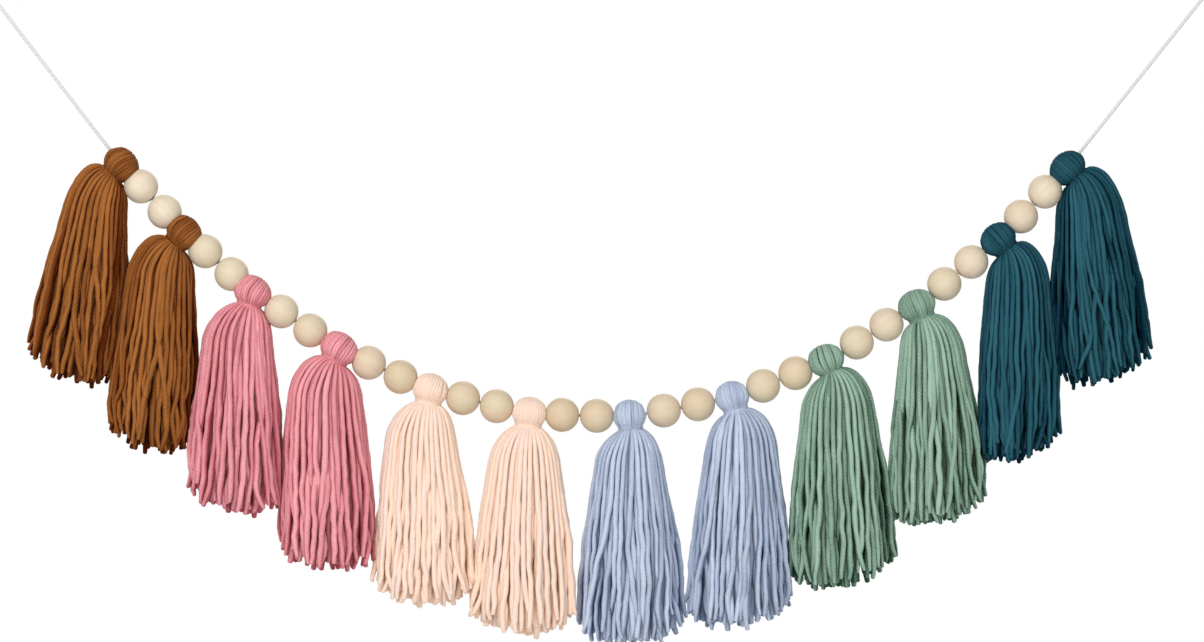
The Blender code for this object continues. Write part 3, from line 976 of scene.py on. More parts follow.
@dataclass
class Head:
    """Yarn laid over a ball of yarn, from the front of the neck to its back.

    The strands fan out from side to side, and draw together a little at the crown. Their feet run
    into the neck, and toes end them under the tie.
    """

    middle: Points
    ball: float
    tied: Neck
    height: float = 9.8
    widening: float = 1.04
    strands: int = 17
    steps: int = 39
    sides: int = 9
    thickness: float = 1.15
    thinnest: float = 0.75
    neck_inset: float = 0.9
    last_angle: float = 80.0
    angle_spread: float = 0.8
    widest_at: float = 0.6
    crown_draw: float = 0.2
    sway: float = 0.22
    sway_pace: float = 2.2
    sway_phases: float = 6.0
    least_square: float = 0.01
    foot_share: float = 0.9
    toe_share: float = 0.97
    toe_drop: float = 1.4
    tilt_gain: float = 0.8
    uneven: float = 0.035
    rim: float = 0.72
    depth: float = 0.32
    # painted shade on the ball of yarn that lies under the strands
    core_shade: float = 0.62
    core_inset: float = 1.3
    core_end: float = 0.06
    core_steps: int = 13
    core_sides: int = 16

    def laid(self, rng: Rng) -> Strands:
        """Strands over the head.

        Args:
            rng: Source of the small unevenness.

        Returns:
            The strands, with both ends inside the neck.
        """
        neck_reach = self.tied.radius - self.neck_inset
        reach = self.ball / 2.0 * self.widening - self.thickness
        beta = np.radians(np.linspace(-self.last_angle, self.last_angle, self.strands))
        beta += rng.normal(0.0, math.radians(self.angle_spread), len(beta))
        side = neck_reach * np.sin(beta)
        end = math.pi - np.arcsin(neck_reach * np.cos(beta) / np.sqrt(reach ** 2 - side ** 2))
        share = np.linspace(-1.0, 1.0, self.steps)
        rise = np.abs(share)
        crown = 1.0 - self.crown_draw + self.crown_draw * np.sin(
            math.pi / 2.0 * rise / self.widest_at) ** 2
        past = np.maximum(rise - self.widest_at, 0.0) / (1.0 - self.widest_at)
        spread = np.where(rise < self.widest_at, crown, 1.0 + (neck_reach / reach - 1.0) * past ** 2)
        phase = rng.uniform(0.0, self.sway_phases, (len(beta), 1))
        sway = rng.normal(0.0, self.sway, (len(beta), 1)) * np.cos(share * self.sway_pace + phase)
        x = reach * np.sin(beta)[:, None] * spread + sway * (1.0 - rise ** 3)
        round_reach = np.sqrt(np.maximum(reach ** 2 - x ** 2, self.least_square))
        angle = share * end[:, None]
        rise = round_reach * np.cos(angle) * (self.height - self.thickness) / reach
        local = np.stack((x, round_reach * np.sin(angle), rise), axis=2)
        feet = local[:, (0, -1)] * np.array((self.foot_share, self.foot_share, 1.0))
        feet[..., 2] = -self.tied.waist
        toes = feet * np.array((self.toe_share, self.toe_share, 1.0))
        toes[..., 2] -= self.toe_drop
        local = np.concatenate((toes[:, :1], feet[:, :1], local, feet[:, 1:], toes[:, 1:]), axis=1)
        x, y, rise = np.moveaxis(local, 2, 0)
        turned = eased(rise / self.height * self.tilt_gain + 0.5)
        tilt = np.radians(between(self.tied.tilt, self.tied.winding, turned))
        cosine, sine = np.cos(tilt), np.sin(tilt)
        paths = self.middle + np.stack((cosine * x - sine * rise, y, sine * x + cosine * rise), axis=2)
        spread = np.pad(spread, 2, mode="edge")
        radii = self.thickness * spread * rng.normal(1.0, self.uneven, (len(beta), 1))
        return Strands(paths, np.maximum(radii, self.thinnest), np.full(len(paths), self.depth),
                       self.sides, self.middle, self.rim)

    def core(self) -> Strands:
        """Wind the ball of yarn under the strands.

        Returns:
            The ball, as one thick strand.
        """
        angles = np.linspace(self.core_end, math.pi - self.core_end, self.core_steps)
        heights = np.cos(angles) * (self.height - self.core_inset)
        path = (self.middle - self.tied.way() * heights[:, None])[None]
        radii = np.sin(angles)[None] * (self.ball / 2.0 - self.core_inset)
        # the ball's depth value darkens its colour: painted shade under the strands
        return Strands(path, radii, np.array((self.core_shade,)), self.core_sides)


@dataclass(frozen=True)
class Overlap:
    """How much further a skirt reaches under each neighbour, and how much shorter it is cut."""

    left: float
    right: float
    trim: float
    depth: float = 0.0


@dataclass
class Fall:
    """Places of strands across the skirt, at each level of their way down.

    Levels run from the shoulder at a share of 0 to the hem at 1 and on to the overshoot. Slimming
    and room are numbers at some shares: a strand's radius, and the least way between two strands
    in their radii.
    """

    way: SkirtWay
    disc: Points
    shoulder: Ring
    hem: Ring
    overlap: Overlap
    rng: Rng
    levels: int = 34
    overshoot: float = 1.16
    swell: float = 1.5
    slimming: tuple[Triple, Triple] = ((0.0, 0.3, 1.0), (0.93, 0.97, 1.0))
    tuck_rise: Pair = (0.0, 0.5)
    swing_paces: Pair = (0.75, 1.3)
    swing_least: float = 0.1
    swing_power: float = 1.3
    tuft_rise: Pair = (0.35, 0.65)
    tuft_size: int = 4
    tuft_level: int = -6
    room: tuple[Triple, Triple] = ((0.0, 0.4, 1.0), (1.78, 1.86, 2.12))
    settling: int = 16
    settling_push: float = 0.3
    settling_pull: float = 0.3
    hem_give: float = 0.05
    smoothing: int = 4
    outer_reach: float = 0.7
    crossing_drift: float = 5.5
    crossing_rise: Pair = (0.15, 0.85)
    crossing_lift: float = 0.07
    lift_rise: Pair = (0.1, 0.4)
    least_fullness: float = 0.3
    stray_share: float = 0.3
    stray_reach: Pair = (0.8, 3.2)
    stray_rise: Pair = (0.66, 0.34)

    def __post_init__(self) -> None:
        """Work out how far the middle lines may reach, and spread them evenly."""
        self.share = np.linspace(0.0, self.overshoot, self.levels)
        self.held = held = np.minimum(self.share, 1.0)
        swell = self.swell * 4.0 * held * (1.0 - held)
        tuck = eased(held, *self.tuck_rise)
        self.radius = np.interp(self.share, *self.slimming) * self.way.strand_radius
        self.left, self.right, self.depth = (
            between(getattr(self.shoulder, side), getattr(self.hem, side), held) + swell
            + getattr(self.overlap, side) * tuck - self.radius for side in ("left", "right", "depth"))
        x, y = self.disc[:, :1], self.disc[:, 1:]
        self.spots = np.stack((x * self.side(x), y * self.depth), axis=2)

    def side(self, sideways: Points) -> Points:
        """Reach on the side where each place lies."""
        return np.where(sideways > 0.0, self.right, self.left)

    def fullness(self) -> Points:
        """How far out each strand lies, where 1 is the edge."""
        x, y = self.spots[..., 0], self.spots[..., 1]
        return np.hypot(x / self.side(x), y / self.depth)

    def swing(self) -> None:
        """Let each strand wave in its own way, more and more to the hem."""
        loose = self.swing_least + (1.0 - self.swing_least) * self.held ** self.swing_power
        shape = (len(self.disc), 1, 2)
        for swing, waves in self.way.swings:
            phase = self.rng.uniform(0.0, FULL_TURN, shape)
            pace = waves * self.rng.uniform(*self.swing_paces, shape)
            wave = np.sin(FULL_TURN * pace * self.share[None, :, None] + phase) - np.sin(phase)
            self.spots = self.spots + swing * wave * loose[None, :, None]

    def gather(self) -> None:
        """Draw the strands into tufts of a few towards the hem."""
        spots = self.spots
        seeds = self.rng.choice(len(spots), len(spots) // self.tuft_size, replace=False)
        ends = spots[:, self.tuft_level]
        nearest = np.argmin(np.linalg.norm(ends[:, None] - ends[None, seeds], axis=2), axis=1)
        pull = self.way.tufting * eased(self.held, *self.tuft_rise)
        target = np.stack([spots[nearest == tuft].mean(axis=0) for tuft in nearest])
        self.spots = between(spots, target, pull[None, :, None])

    def settle(self) -> None:
        """Push strands apart until they lie side by side inside the skirt's outline."""
        room = self.radius * np.interp(self.share, *self.room)
        for _ in range(self.settling):
            gap = self.spots[:, None] - self.spots[None]
            distance = np.maximum(np.linalg.norm(gap, axis=3), LEAST_DISTANCE)
            short = np.maximum(0.0, room - distance) / distance
            self.spots = self.spots + self.settling_push * np.sum(gap * short[..., None], axis=1)
            smooth_along(self.spots, self.settling_pull)
            over = self.fullness() / (1.0 + self.hem_give * self.held)
            self.spots = self.spots / np.maximum(1.0, over)[..., None]
        for _ in range(self.smoothing):
            smooth_along(self.spots, 0.5)

    def loosen(self) -> None:
        """Let some outer strands cross others, and some stray out at the hem."""
        count = len(self.disc)
        outer = np.linalg.norm(self.disc, axis=1) > self.outer_reach
        crossers = outer & (self.rng.uniform(size=count) < self.way.crossing)
        drift = self.rng.normal(0.0, self.crossing_drift, count) * crossers
        self.spots[..., 0] += drift[:, None] * eased(self.held, *self.crossing_rise)
        over = np.maximum(self.fullness(), self.least_fullness)
        lift = (1.0 + self.crossing_lift * eased(self.held, *self.lift_rise)) / over - 1.0
        spots = self.spots * (1.0 + lift * crossers[:, None])[..., None]
        stray = outer * (self.rng.uniform(size=count) < self.stray_share)
        stray = stray * self.rng.uniform(*self.stray_reach, count)
        away = spots / np.maximum(np.linalg.norm(spots, axis=2, keepdims=True), 1.0)
        late = eased(self.held, *self.stray_rise) ** 2
        self.spots = spots + away * stray[:, None, None] * late[:, None]

    def lines(self) -> Points:
        """Let the strands fall, nestled side by side and loosening to the hem.

        Returns:
            Their middle lines as (strand, level, axis).
        """
        self.swing()
        self.gather()
        self.settle()
        self.loosen()
        down = self.shoulder.down
        span = float((self.hem.centre - self.shoulder.centre) @ down)
        centre = self.shoulder.centre + down * span * self.share[:, None]
        return centre + across(down) * self.spots[..., :1] - TOWARDS_VIEWER * self.spots[..., 1:]


@dataclass
class Skirt:
    """Loose strands that leave the tied neck and hang side by side down to a cut hem.

    The cap is where they leave the neck, the dome is their bend over it, and below the shoulder
    they fall past the hem, where they are cut. Kinks and ripples are a strength and a wavelength.
    """

    size: TasselSize
    tied: Neck
    middle: Points
    beads: list[Points]
    overlap: Overlap
    neck_top_radius: float = 7.0
    waist_drop: float = 1.2
    cap_radius: float = 6.6
    cap_turn: float = 0.4
    tie_half_width: float = 1.0
    cap_clearance: float = 0.8
    dome_drop: float = 3.3
    dome_steps: int = 12
    shoulder_drop: float = 14.6
    shoulder_depth: float = 0.80
    hem_depth: float = 0.70
    angle_spread: float = 0.2
    reach_spread: float = 0.03
    roots: tuple[Pair, ...] = ((-2.6, 2.6), (0.0, 1.9), (1.0, 1.2))
    flare: float = 32.0
    flare_gains: Pair = (-24.0, 55.0)
    leaving: float = 0.36
    arriving: float = 0.34
    # painted shadow on strands tucked behind a neighbouring skirt, rising towards that side
    tuck_shade: float = 0.2
    shade_rise: Pair = (0.55, 0.35)
    tone_spread: float = 0.16
    bend_length: float = 0.5
    hem_point: int = -4
    cut_back: float = 4.6
    uneven_cut: float = 2.1
    corner_cut: float = 5.0
    short_share: float = 0.08
    short_cut: Pair = (5.0, 13.0)
    outer_steps: int = 42
    outer_sides: int = 7
    inner_steps: int = 28
    inner_sides: int = 5
    bunching: float = 0.3
    kinks: tuple[Pair, ...] = ((0.32, 27.0), (0.17, 13.0))
    kink_paces: Pair = (0.75, 1.35)
    kink_strengths: Pair = (0.4, 1.5)
    kink_least: float = 0.15
    kink_rises: tuple[Pair, Pair] = ((22.0, 75.0), (4.0, 16.0))
    tip_length: float = 14.0
    tip_power: float = 1.6
    tip_spread: float = 1.3
    bulk_at: tuple[float, ...] = (0.0, 5.0, 12.0, 26.0, 50.0, 110.0)
    bulk: tuple[float, ...] = (0.45, 0.58, 0.79, 0.9, 0.98, 1.0)
    uneven_bulk: float = 0.06
    tip_taper: Pair = (0.3, 9.0)
    ripples: tuple[Pair, ...] = ((0.05, 21.0), (0.045, 9.0))
    blunt_end: tuple[Pair, ...] = ((0.25, 0.84), (0.5, 0.45))
    bead_radius: float = 10.15
    bead_share: float = 0.95
    ball_inset: float = 0.5
    ball_share: float = 0.6
    neck_rise: Pair = (0.0, 2.0)

    def way(self) -> SkirtWay:
        """How the strands of this yarn hang."""
        return SKIRT_WAYS[self.size.yarn]

    def bend(self) -> float:
        """Sine of the turn between the neck and the skirt, positive for a neck to the right."""
        return math.sin(math.radians(self.tied.tilt - self.size.lean))

    def rings(self) -> tuple[Ring, Ring]:
        """Cross-sections of the skirt.

        Returns:
            The rings of its shoulder and its hem.
        """
        size, lean = self.size, falling(self.size.lean)
        turn = (size.lean - size.neck) * self.cap_turn
        rise = self.cap_radius * abs(math.sin(math.radians(turn)))
        neck_length = math.sqrt((size.ball / 2.0) ** 2 - self.neck_top_radius ** 2) + self.waist_drop
        cap = self.middle + falling(size.neck) * (
            neck_length + self.tie_half_width + self.cap_clearance + rise)
        dome = cap + unit(falling(size.neck) + lean) * self.dome_drop
        shoulder = dome + lean * self.shoulder_drop
        hem = shoulder + lean * (size.length - float((shoulder - cap) @ lean))
        return (
            Ring(shoulder, lean, size.shoulder_left, size.shoulder_right,
                 self.shoulder_depth * (size.shoulder_left + size.shoulder_right) / 2.0),
            Ring(hem, lean, size.hem_left, size.hem_right,
                 self.hem_depth * (size.hem_left + size.hem_right) / 2.0),
        )

    def arrangement(self, rng: Rng) -> Points:
        """Where the strands lie in the bundle.

        Args:
            rng: Source of their uneven places.

        Returns:
            Points of the unit disc, outermost first.
        """
        spots = []
        start = rng.uniform()
        for count, share in zip(self.way().counts, self.way().reaches):
            start += 0.5
            angles = FULL_TURN * (np.arange(count) + start) / count
            angles += rng.normal(0.0, self.angle_spread / count * math.pi, count)
            reach = share + rng.normal(0.0, self.reach_spread, count)
            spots.append(np.stack((np.cos(angles), np.sin(angles)), axis=1) * reach[:, None])
        disc = np.concatenate(spots)
        return disc / np.maximum(1.0, np.linalg.norm(disc, axis=1, keepdims=True))

    def strand_paths(self, rng: Rng) -> tuple[Points, Points]:
        """Middle lines of all strands from inside the head to past the hem.

        Args:
            rng: Source of the strands' own ways.

        Returns:
            Points as (strand, point, axis), and each strand's depth value: painted shade that grows towards
            the middle of the bundle and on a side tucked behind a neighbour, plus random tone.
        """
        disc = self.arrangement(rng)
        reach = np.linalg.norm(disc, axis=1, keepdims=True)
        fall = Fall(self.way(), disc, *self.rings(), self.overlap, rng).lines()
        neck = self.tied.way()
        roots = [Ring(self.middle + neck * (self.tied.waist + drop), neck,
                      *(self.tied.radius - inset,) * 3).spot(disc) for drop, inset in self.roots]
        begin = roots[-1]
        outward = Ring(np.zeros(3), neck, 1.0, 1.0, 1.0).spot(disc) / np.maximum(reach, LEAST_DISTANCE)
        turned = self.bend() * disc[:, :1]
        flare = np.radians(self.flare + np.where(turned > 0.0, *self.flare_gains) * turned)
        flare = flare + (math.pi / 2.0 - flare) * (1.0 - reach)
        leave = outward * np.cos(flare) + neck * np.sin(flare)
        arrive = unit(fall[:, 1] - fall[:, 0])
        span = np.linalg.norm(fall[:, 0] - begin, axis=1, keepdims=True)
        first, second = begin + leave * span * self.leaving, fall[:, 0] - arrive * span * self.arriving
        share = np.linspace(0.0, 1.0, self.dome_steps)[None, :, None]
        curve = (begin[:, None] * (1 - share) ** 3 + 3 * first[:, None] * share * (1 - share) ** 2
                 + 3 * second[:, None] * share ** 2 * (1 - share) + fall[:, :1] * share ** 3)
        whole = np.concatenate((np.stack(roots[:2], axis=1), curve[:, :-1], fall), axis=1)
        # painted shade: inner strands by 1 - reach, tucked sides as painted shadow; the normal draw is
        # random tone
        tucked = np.where(disc[:, 0] > 0.0, self.overlap.right, self.overlap.left)
        shaded = eased(np.abs(disc[:, 0]), *self.shade_rise) * tucked * self.tuck_shade
        return whole, 1.0 - reach[:, 0] + shaded + rng.normal(0.0, self.tone_spread, len(disc))

    def cut_lengths(self, whole: Points, rng: Rng) -> Points:
        """Length of each strand: cut nearly level, with some left ragged.

        Args:
            whole: Middle lines that run past the hem.
            rng: Source of the uneven cut.

        Returns:
            Lengths from the roots.
        """
        shoulder, hem = self.rings()
        lengths = lengths_along(whole)
        to_shoulder = lengths[:, self.dome_steps + 1]
        mean = to_shoulder.mean()
        evened = mean + self.bend_length * abs(self.bend()) * (to_shoulder - mean)
        sideways = (whole[:, self.hem_point] - hem.centre) @ across(hem.down)
        corner = np.abs(sideways) / np.where(sideways > 0.0, hem.right, hem.left)
        wanted = evened + float((hem.centre - shoulder.centre) @ hem.down) - self.corner_cut * corner ** 3
        wanted -= self.overlap.trim
        wanted += rng.normal(-self.cut_back, self.uneven_cut, len(whole))
        short = rng.uniform(size=len(whole)) < self.short_share
        wanted -= short * rng.uniform(*self.short_cut, len(whole))
        return np.minimum(wanted, lengths[:, -1] - 0.5)

    def cut(self, whole: Points, wanted: Points, steps: int, rng: Rng) -> tuple[Points, Points]:
        """Cut strands to length, crimp them and set their thickness.

        Args:
            whole: Middle lines that run past the hem.
            wanted: Length of each strand.
            steps: Points of each cut strand.
            rng: Source of the crimps.

        Returns:
            Points and radii of the strands.
        """
        lengths, count = lengths_along(whole), len(whole)
        share = np.linspace(0.0, 1.0, steps)
        stations = wanted[:, None] * ((1.0 - self.bunching) * share + self.bunching * share ** 2)
        from_end = stations - wanted[:, None]
        paths = np.stack([points_at(*item) for item in zip(stations, lengths, whole)])
        far, near = (eased(stations, *rise) for rise in self.kink_rises)
        loose = (self.kink_least + (1.0 - self.kink_least) * far) * near
        for swing, wavelength in self.kinks:
            phase = rng.uniform(0.0, FULL_TURN, (count, 1, 2))
            pace = FULL_TURN / (wavelength * rng.uniform(*self.kink_paces, (count, 1, 1)))
            strength = swing * rng.uniform(*self.kink_strengths, (count, 1, 1))
            paths[..., :2] += np.sin(stations[..., None] * pace + phase) * strength * loose[..., None]
        tip = np.clip(from_end / self.tip_length + 1.0, 0.0, 1.0) ** self.tip_power
        paths[..., :2] += rng.normal(0.0, self.tip_spread, (count, 1, 2)) * tip[..., None]
        radii = np.interp(stations, self.bulk_at, self.bulk) * self.way().strand_radius
        radii *= rng.normal(1.0, self.uneven_bulk, (count, 1))
        taper, taper_length = self.tip_taper
        radii *= 1.0 - taper * eased(from_end / taper_length + 1.0)
        for strength, wavelength in self.ripples:
            ripple = rng.uniform(0.0, FULL_TURN, (count, 1))
            radii *= 1.0 + strength * np.sin(FULL_TURN * stations / wavelength + ripple)
        paths = self.clear_of_neighbours(paths, radii)
        way = unit(paths[:, -1] - paths[:, -2])
        ends = [(paths[:, -1] + way * radii[:, -1:] * reach)[:, None] for reach, _ in self.blunt_end]
        thick = [radii[:, -1:] * share_left for _, share_left in self.blunt_end]
        return np.concatenate([paths] + ends, axis=1), np.concatenate([radii] + thick, axis=1)

    def clear_of_neighbours(self, paths: Points, radii: Points) -> Points:
        """Move strands out of the beads beside the head, and off the head's own ball.

        Args:
            paths: Middle lines of the strands.
            radii: Their radii.

        Returns:
            The moved middle lines.
        """
        below = (paths - self.middle) @ self.tied.way() - self.tied.waist
        past_neck = eased(below, *self.neck_rise)[..., None]
        solids = [(self.middle, self.size.ball / 2.0 - self.ball_inset, self.ball_share)]
        solids += [(bead, self.bead_radius, self.bead_share) for bead in self.beads]
        for centre, reach, share in solids:
            away = paths - centre
            distance = np.linalg.norm(away, axis=2, keepdims=True)
            wanted = reach + radii[..., None] * share
            moved = centre + away * np.maximum(1.0, wanted / distance)
            paths = between(paths, moved, past_neck)
        return paths

    def lay(self, rng: Rng) -> list[Strands]:
        """Lay the strands, finer ones outside and plainer, thicker ones inside.

        Args:
            rng: Source of the strands' own ways.

        Returns:
            The outer and the inner strands.
        """
        whole, depth = self.strand_paths(rng)
        wanted = self.cut_lengths(whole, rng)
        outer = sum(self.way().counts[:2])
        bundles = []
        for part, steps, sides, bulk in (
                (slice(0, outer), self.outer_steps, self.outer_sides, 1.0),
                (slice(outer, None), self.inner_steps, self.inner_sides, self.way().inner_bulk)):
            paths, radii = self.cut(whole[part], wanted[part], steps, rng)
            bundles.append(Strands(paths, radii * bulk, depth[part], sides, paths.mean(axis=0)))
        return bundles


@dataclass
class Tassel:
    """One tassel: wound yarn head, tied neck and a skirt of loose strands."""

    head: Head
    skirt: Skirt
    number: int
    bundles: list[Strands] = field(default_factory=list)
    skirt_seed: int = 100
    head_seed: int = 200
    numbers_each: int = 150
    texture_rows: int = 3
    parting: int = 4
    tie_turns: int = 3
    tie_turn_steps: int = 34
    tie_tucked: float = 0.06
    tie_inset: float = 1.8
    tie_rise: float = 0.8
    tie_width: float = 1.5
    tie_radius: float = 0.5
    # painted shade that makes the tie read as the shadowed crease of the neck
    tie_depth: float = 0.7
    tie_sides: int = 8
    tie_folds: int = 6

    def lay(self) -> None:
        """Lay the strands of the skirt, before they are parted from the next tassel's."""
        self.bundles = self.skirt.lay(np.random.default_rng(self.skirt_seed + self.number))

    def part_from(self, front: "Tassel") -> None:
        """Push touching strands apart, these to the back and the other tassel's to the front.

        Args:
            front: The tassel in front.
        """
        for _ in range(self.parting):
            for own in self.bundles:
                for other in front.bundles:
                    own.part_from(other)

    def tie(self) -> Strands:
        """Wind the thread round the neck.

        Returns:
            The thread, with both ends tucked in.
        """
        tied = self.head.tied
        winding = Winding(self.tie_turns, self.tie_turn_steps, self.tie_tucked,
                          tied.radius - self.tie_inset, self.tie_rise)
        path = winding.line(self.head.middle, tied.way(), tied.waist, self.tie_width, 0.5)[None]
        return Strands(path, np.full(path.shape[:2], self.tie_radius), np.full(1, self.tie_depth),
                       self.tie_sides)

    def build(self, material: bpy.types.Material) -> None:
        """Make the tassel and its tie.

        Args:
            material: The yarn's material.
        """
        slot = self.skirt.size.yarn.value
        head = self.head.laid(np.random.default_rng(self.head_seed + self.number))
        bundles = self.bundles + [head, self.head.core()]
        surface = Surface()
        grid = BakeGrid(sum(len(bundle.paths) for bundle in bundles), self.texture_rows)
        number = self.numbers_each * (self.number - 1)
        for bundle in bundles:
            bundle.add_to(surface, grid, number)
            number += len(bundle.paths)
        self.press(surface)
        surface.piece(f"yarn_tassel_{self.number:02d}", material, slot, f"tassel_{self.number:02d}")
        band = Surface()
        self.tie().add_to(band, BakeGrid(self.tie_folds, 1), number, self.tie_folds)
        band.piece(f"neck_thread_{self.number:02d}", material, slot, f"tie_{self.number:02d}")

    def press(self, surface: Surface) -> None:
        """Press the yarn in where beads lie against it.

        Args:
            surface: The tassel's surface, whose points are moved.
        """
        for points in surface.points:
            for bead in self.skirt.beads:
                away = points - bead
                distance = np.linalg.norm(away, axis=1, keepdims=True)
                points += away * (np.maximum(1.0, self.skirt.bead_radius / distance) - 1.0)


@dataclass
class Bead:
    """Turned wooden bead, bored along the cord, with rounded hole mouths."""

    item: Threaded
    number: int
    tanned: float
    radius: float = 10.0
    bore: float = 1.75
    lip: float = 0.55
    lip_shape: tuple[Pair, ...] = ((0.35, 0.05), (0.0, 0.7))
    wall: Triple = (0.5, 0.0, -0.5)
    sides: int = 48
    bands: int = 26
    map_margin: float = 0.02

    def profile(self) -> Points:
        """Closed outline of the bead on one side of its bore.

        Returns:
            Points as (from axis, along axis).
        """
        mouth = math.asin((self.bore + self.lip) / self.radius)
        angles = np.linspace(mouth, math.pi - mouth, self.bands)
        ball = np.stack((np.sin(angles), np.cos(angles)), axis=1) * self.radius
        rim = ball[0, 1]
        inner = [(self.bore + self.lip * out, rim - self.lip * down) for out, down in self.lip_shape]
        lower = [(from_axis, -height) for from_axis, height in reversed(inner)]
        wall = [(self.bore, rim * share) for share in reversed(self.wall)]
        return np.concatenate((ball, lower, wall, inner[::-1]))

    def build(self, material: bpy.types.Material) -> None:
        """Make the bead.

        Args:
            material: The wood's material.
        """
        outline = self.profile()
        count = len(outline)
        angles = FULL_TURN * np.arange(self.sides) / self.sides
        from_axis, height = outline[:, :1], outline[:, 1:]
        local = np.stack(np.broadcast_arrays(
            from_axis * np.cos(angles), from_axis * np.sin(angles), height), axis=2)
        axis = along(self.item.mean_slope())
        up = across(axis)
        spots = (self.item.middle + up * local[..., :1] - TOWARDS_VIEWER * local[..., 1:2]
                 + axis * local[..., 2:])
        band_at = np.arange(count)[:, None, None] + np.array((0, 1, 1, 0))
        side_at = np.arange(self.sides)[:, None] + np.array((0, 0, 1, 1))
        corners = local[band_at % count, side_at % self.sides] / self.radius
        inside = 1.0 - 2.0 * self.map_margin
        bake = self.map_margin + inside * places(side_at / self.sides, band_at / count)
        surface = Surface()
        surface.add(spots, (((band_at % count) * self.sides + side_at % self.sides, {
            YARN_LAYER: corners[..., :2],
            PLACE_LAYER: places(corners[..., 2], self.number + self.tanned),
            BAKE_LAYER: bake,
        }),))
        surface.piece(f"wooden_bead_{self.number:02d}", material, "wood", f"bead_{self.number:02d}")


@dataclass
class Cord:
    """Thin twisted cord that carries the garland, with a knotted hanging loop at each end."""

    swag: Swag
    threaded: list[Threaded]
    diameter: float = 1.9
    lobes: int = 3
    lobe_relief: float = 0.06
    lay_length: float = 9.0
    sides: int = 12
    step: float = 0.75
    folds: int = 12
    first_number: int = 1900
    loop_width: float = 9.2
    loop_steps: int = 73
    loop_step: float = 0.7
    loop_inset: float = 2.7
    strand_gap: float = 1.15
    knot_turns: int = 4
    knot_turn_steps: int = 30
    knot_tucked: float = 0.05
    knot_radius: float = 2.9
    knot_inner: float = 1.0
    knot_core: tuple[float, ...] = (24.0, 27.5, 31.0, 32.9)

    def strand(self, path: Points, step: float) -> Strands:
        """Cord of three plies that turn along a path.

        Args:
            path: Corners of its middle line.
            step: Distance wanted between its points.

        Returns:
            The cord as one strand.
        """
        lengths = lengths_along(path[None])[0]
        line = points_at(np.linspace(0.0, lengths[-1], int(lengths[-1] / step) + 1), lengths, path)
        turn = FULL_TURN * lengths_along(line[None])[0] / self.lay_length
        angles = FULL_TURN * np.arange(self.sides) / self.sides
        wave = np.abs(np.sin(self.lobes / 2.0 * (angles[None] - turn[:, None])))
        radii = self.diameter / 2.0 * (1.0 - self.lobe_relief + self.lobe_relief * wave)
        return Strands(line[None], radii[None], np.zeros(1), self.sides)

    def loop_line(self, hook: Points, inward: Points) -> Points:
        """Middle line of a hanging loop, from its knot round its hook and back.

        Args:
            hook: Where the hook bears.
            inward: The way from the hook to the knot.

        Returns:
            Points of the loop.
        """
        turn = np.linspace(0.0, FULL_TURN, self.loop_steps)
        width = self.loop_width * np.sin(turn) * (1.0 - np.cos(turn)) / 2.0
        sideways = width + self.strand_gap * np.cos(turn / 2.0)
        length = self.swag.loop_length + self.loop_inset
        down = length * (1.0 + np.cos(turn)) / 2.0 - self.diameter / 2.0
        return hook + across(inward) * sideways[:, None] + inward * down[:, None]

    def build_loop(self, side: str, hook: Points, inward: Points, number: int,
                   material: bpy.types.Material) -> bpy.types.Object:
        """Make one hanging loop with its wrapped knot.

        Args:
            side: Which loop, as the CAD node has it.
            hook: Where the hook bears.
            inward: The way from the hook to the knot.
            number: Strand number of its first line.
            material: The cord's material.

        Returns:
            The loop.
        """
        surface = Surface()
        rise = self.knot_radius - self.diameter / 2.0 - self.knot_inner
        knot = Winding(self.knot_turns, self.knot_turn_steps, self.knot_tucked, self.knot_inner, rise)
        wraps = knot.line(hook, inward, self.swag.loop_length + self.diameter / 2.0,
                          self.swag.knot_length - self.diameter)
        core = hook + inward * np.array(self.knot_core)[:, None]
        lines = ((self.loop_line(hook, inward), 6), (wraps, 6), (core, 2))
        grid = BakeGrid(sum(folds for _, folds in lines), 1)
        for index, (line, folds) in enumerate(lines):
            self.strand(line, self.loop_step).add_to(surface, grid, number + index, folds)
        return surface.piece(f"hanging_loop_{side}", material, "cord", f"loop_{side}")

    def build(self, material: bpy.types.Material) -> None:
        """Args:
            material: The cord's material.
        """
        slopes = self.swag.tail_slopes()
        route = self.swag.route(self.threaded)
        surface = Surface()
        self.strand(route, self.step).add_to(surface, BakeGrid(self.folds, 1), self.first_number, self.folds)
        cord = surface.piece("threaded_cord", material, "cord", "cord")
        right_hook = self.swag.right_hook(self.threaded)
        ends = (("left", np.zeros(3), along(slopes[0])), ("right", right_hook, -along(slopes[1])))
        loops = [self.build_loop(*end, self.first_number + 10 * place, material)
                 for place, end in enumerate(ends, start=1)]
        self.diameter * MM


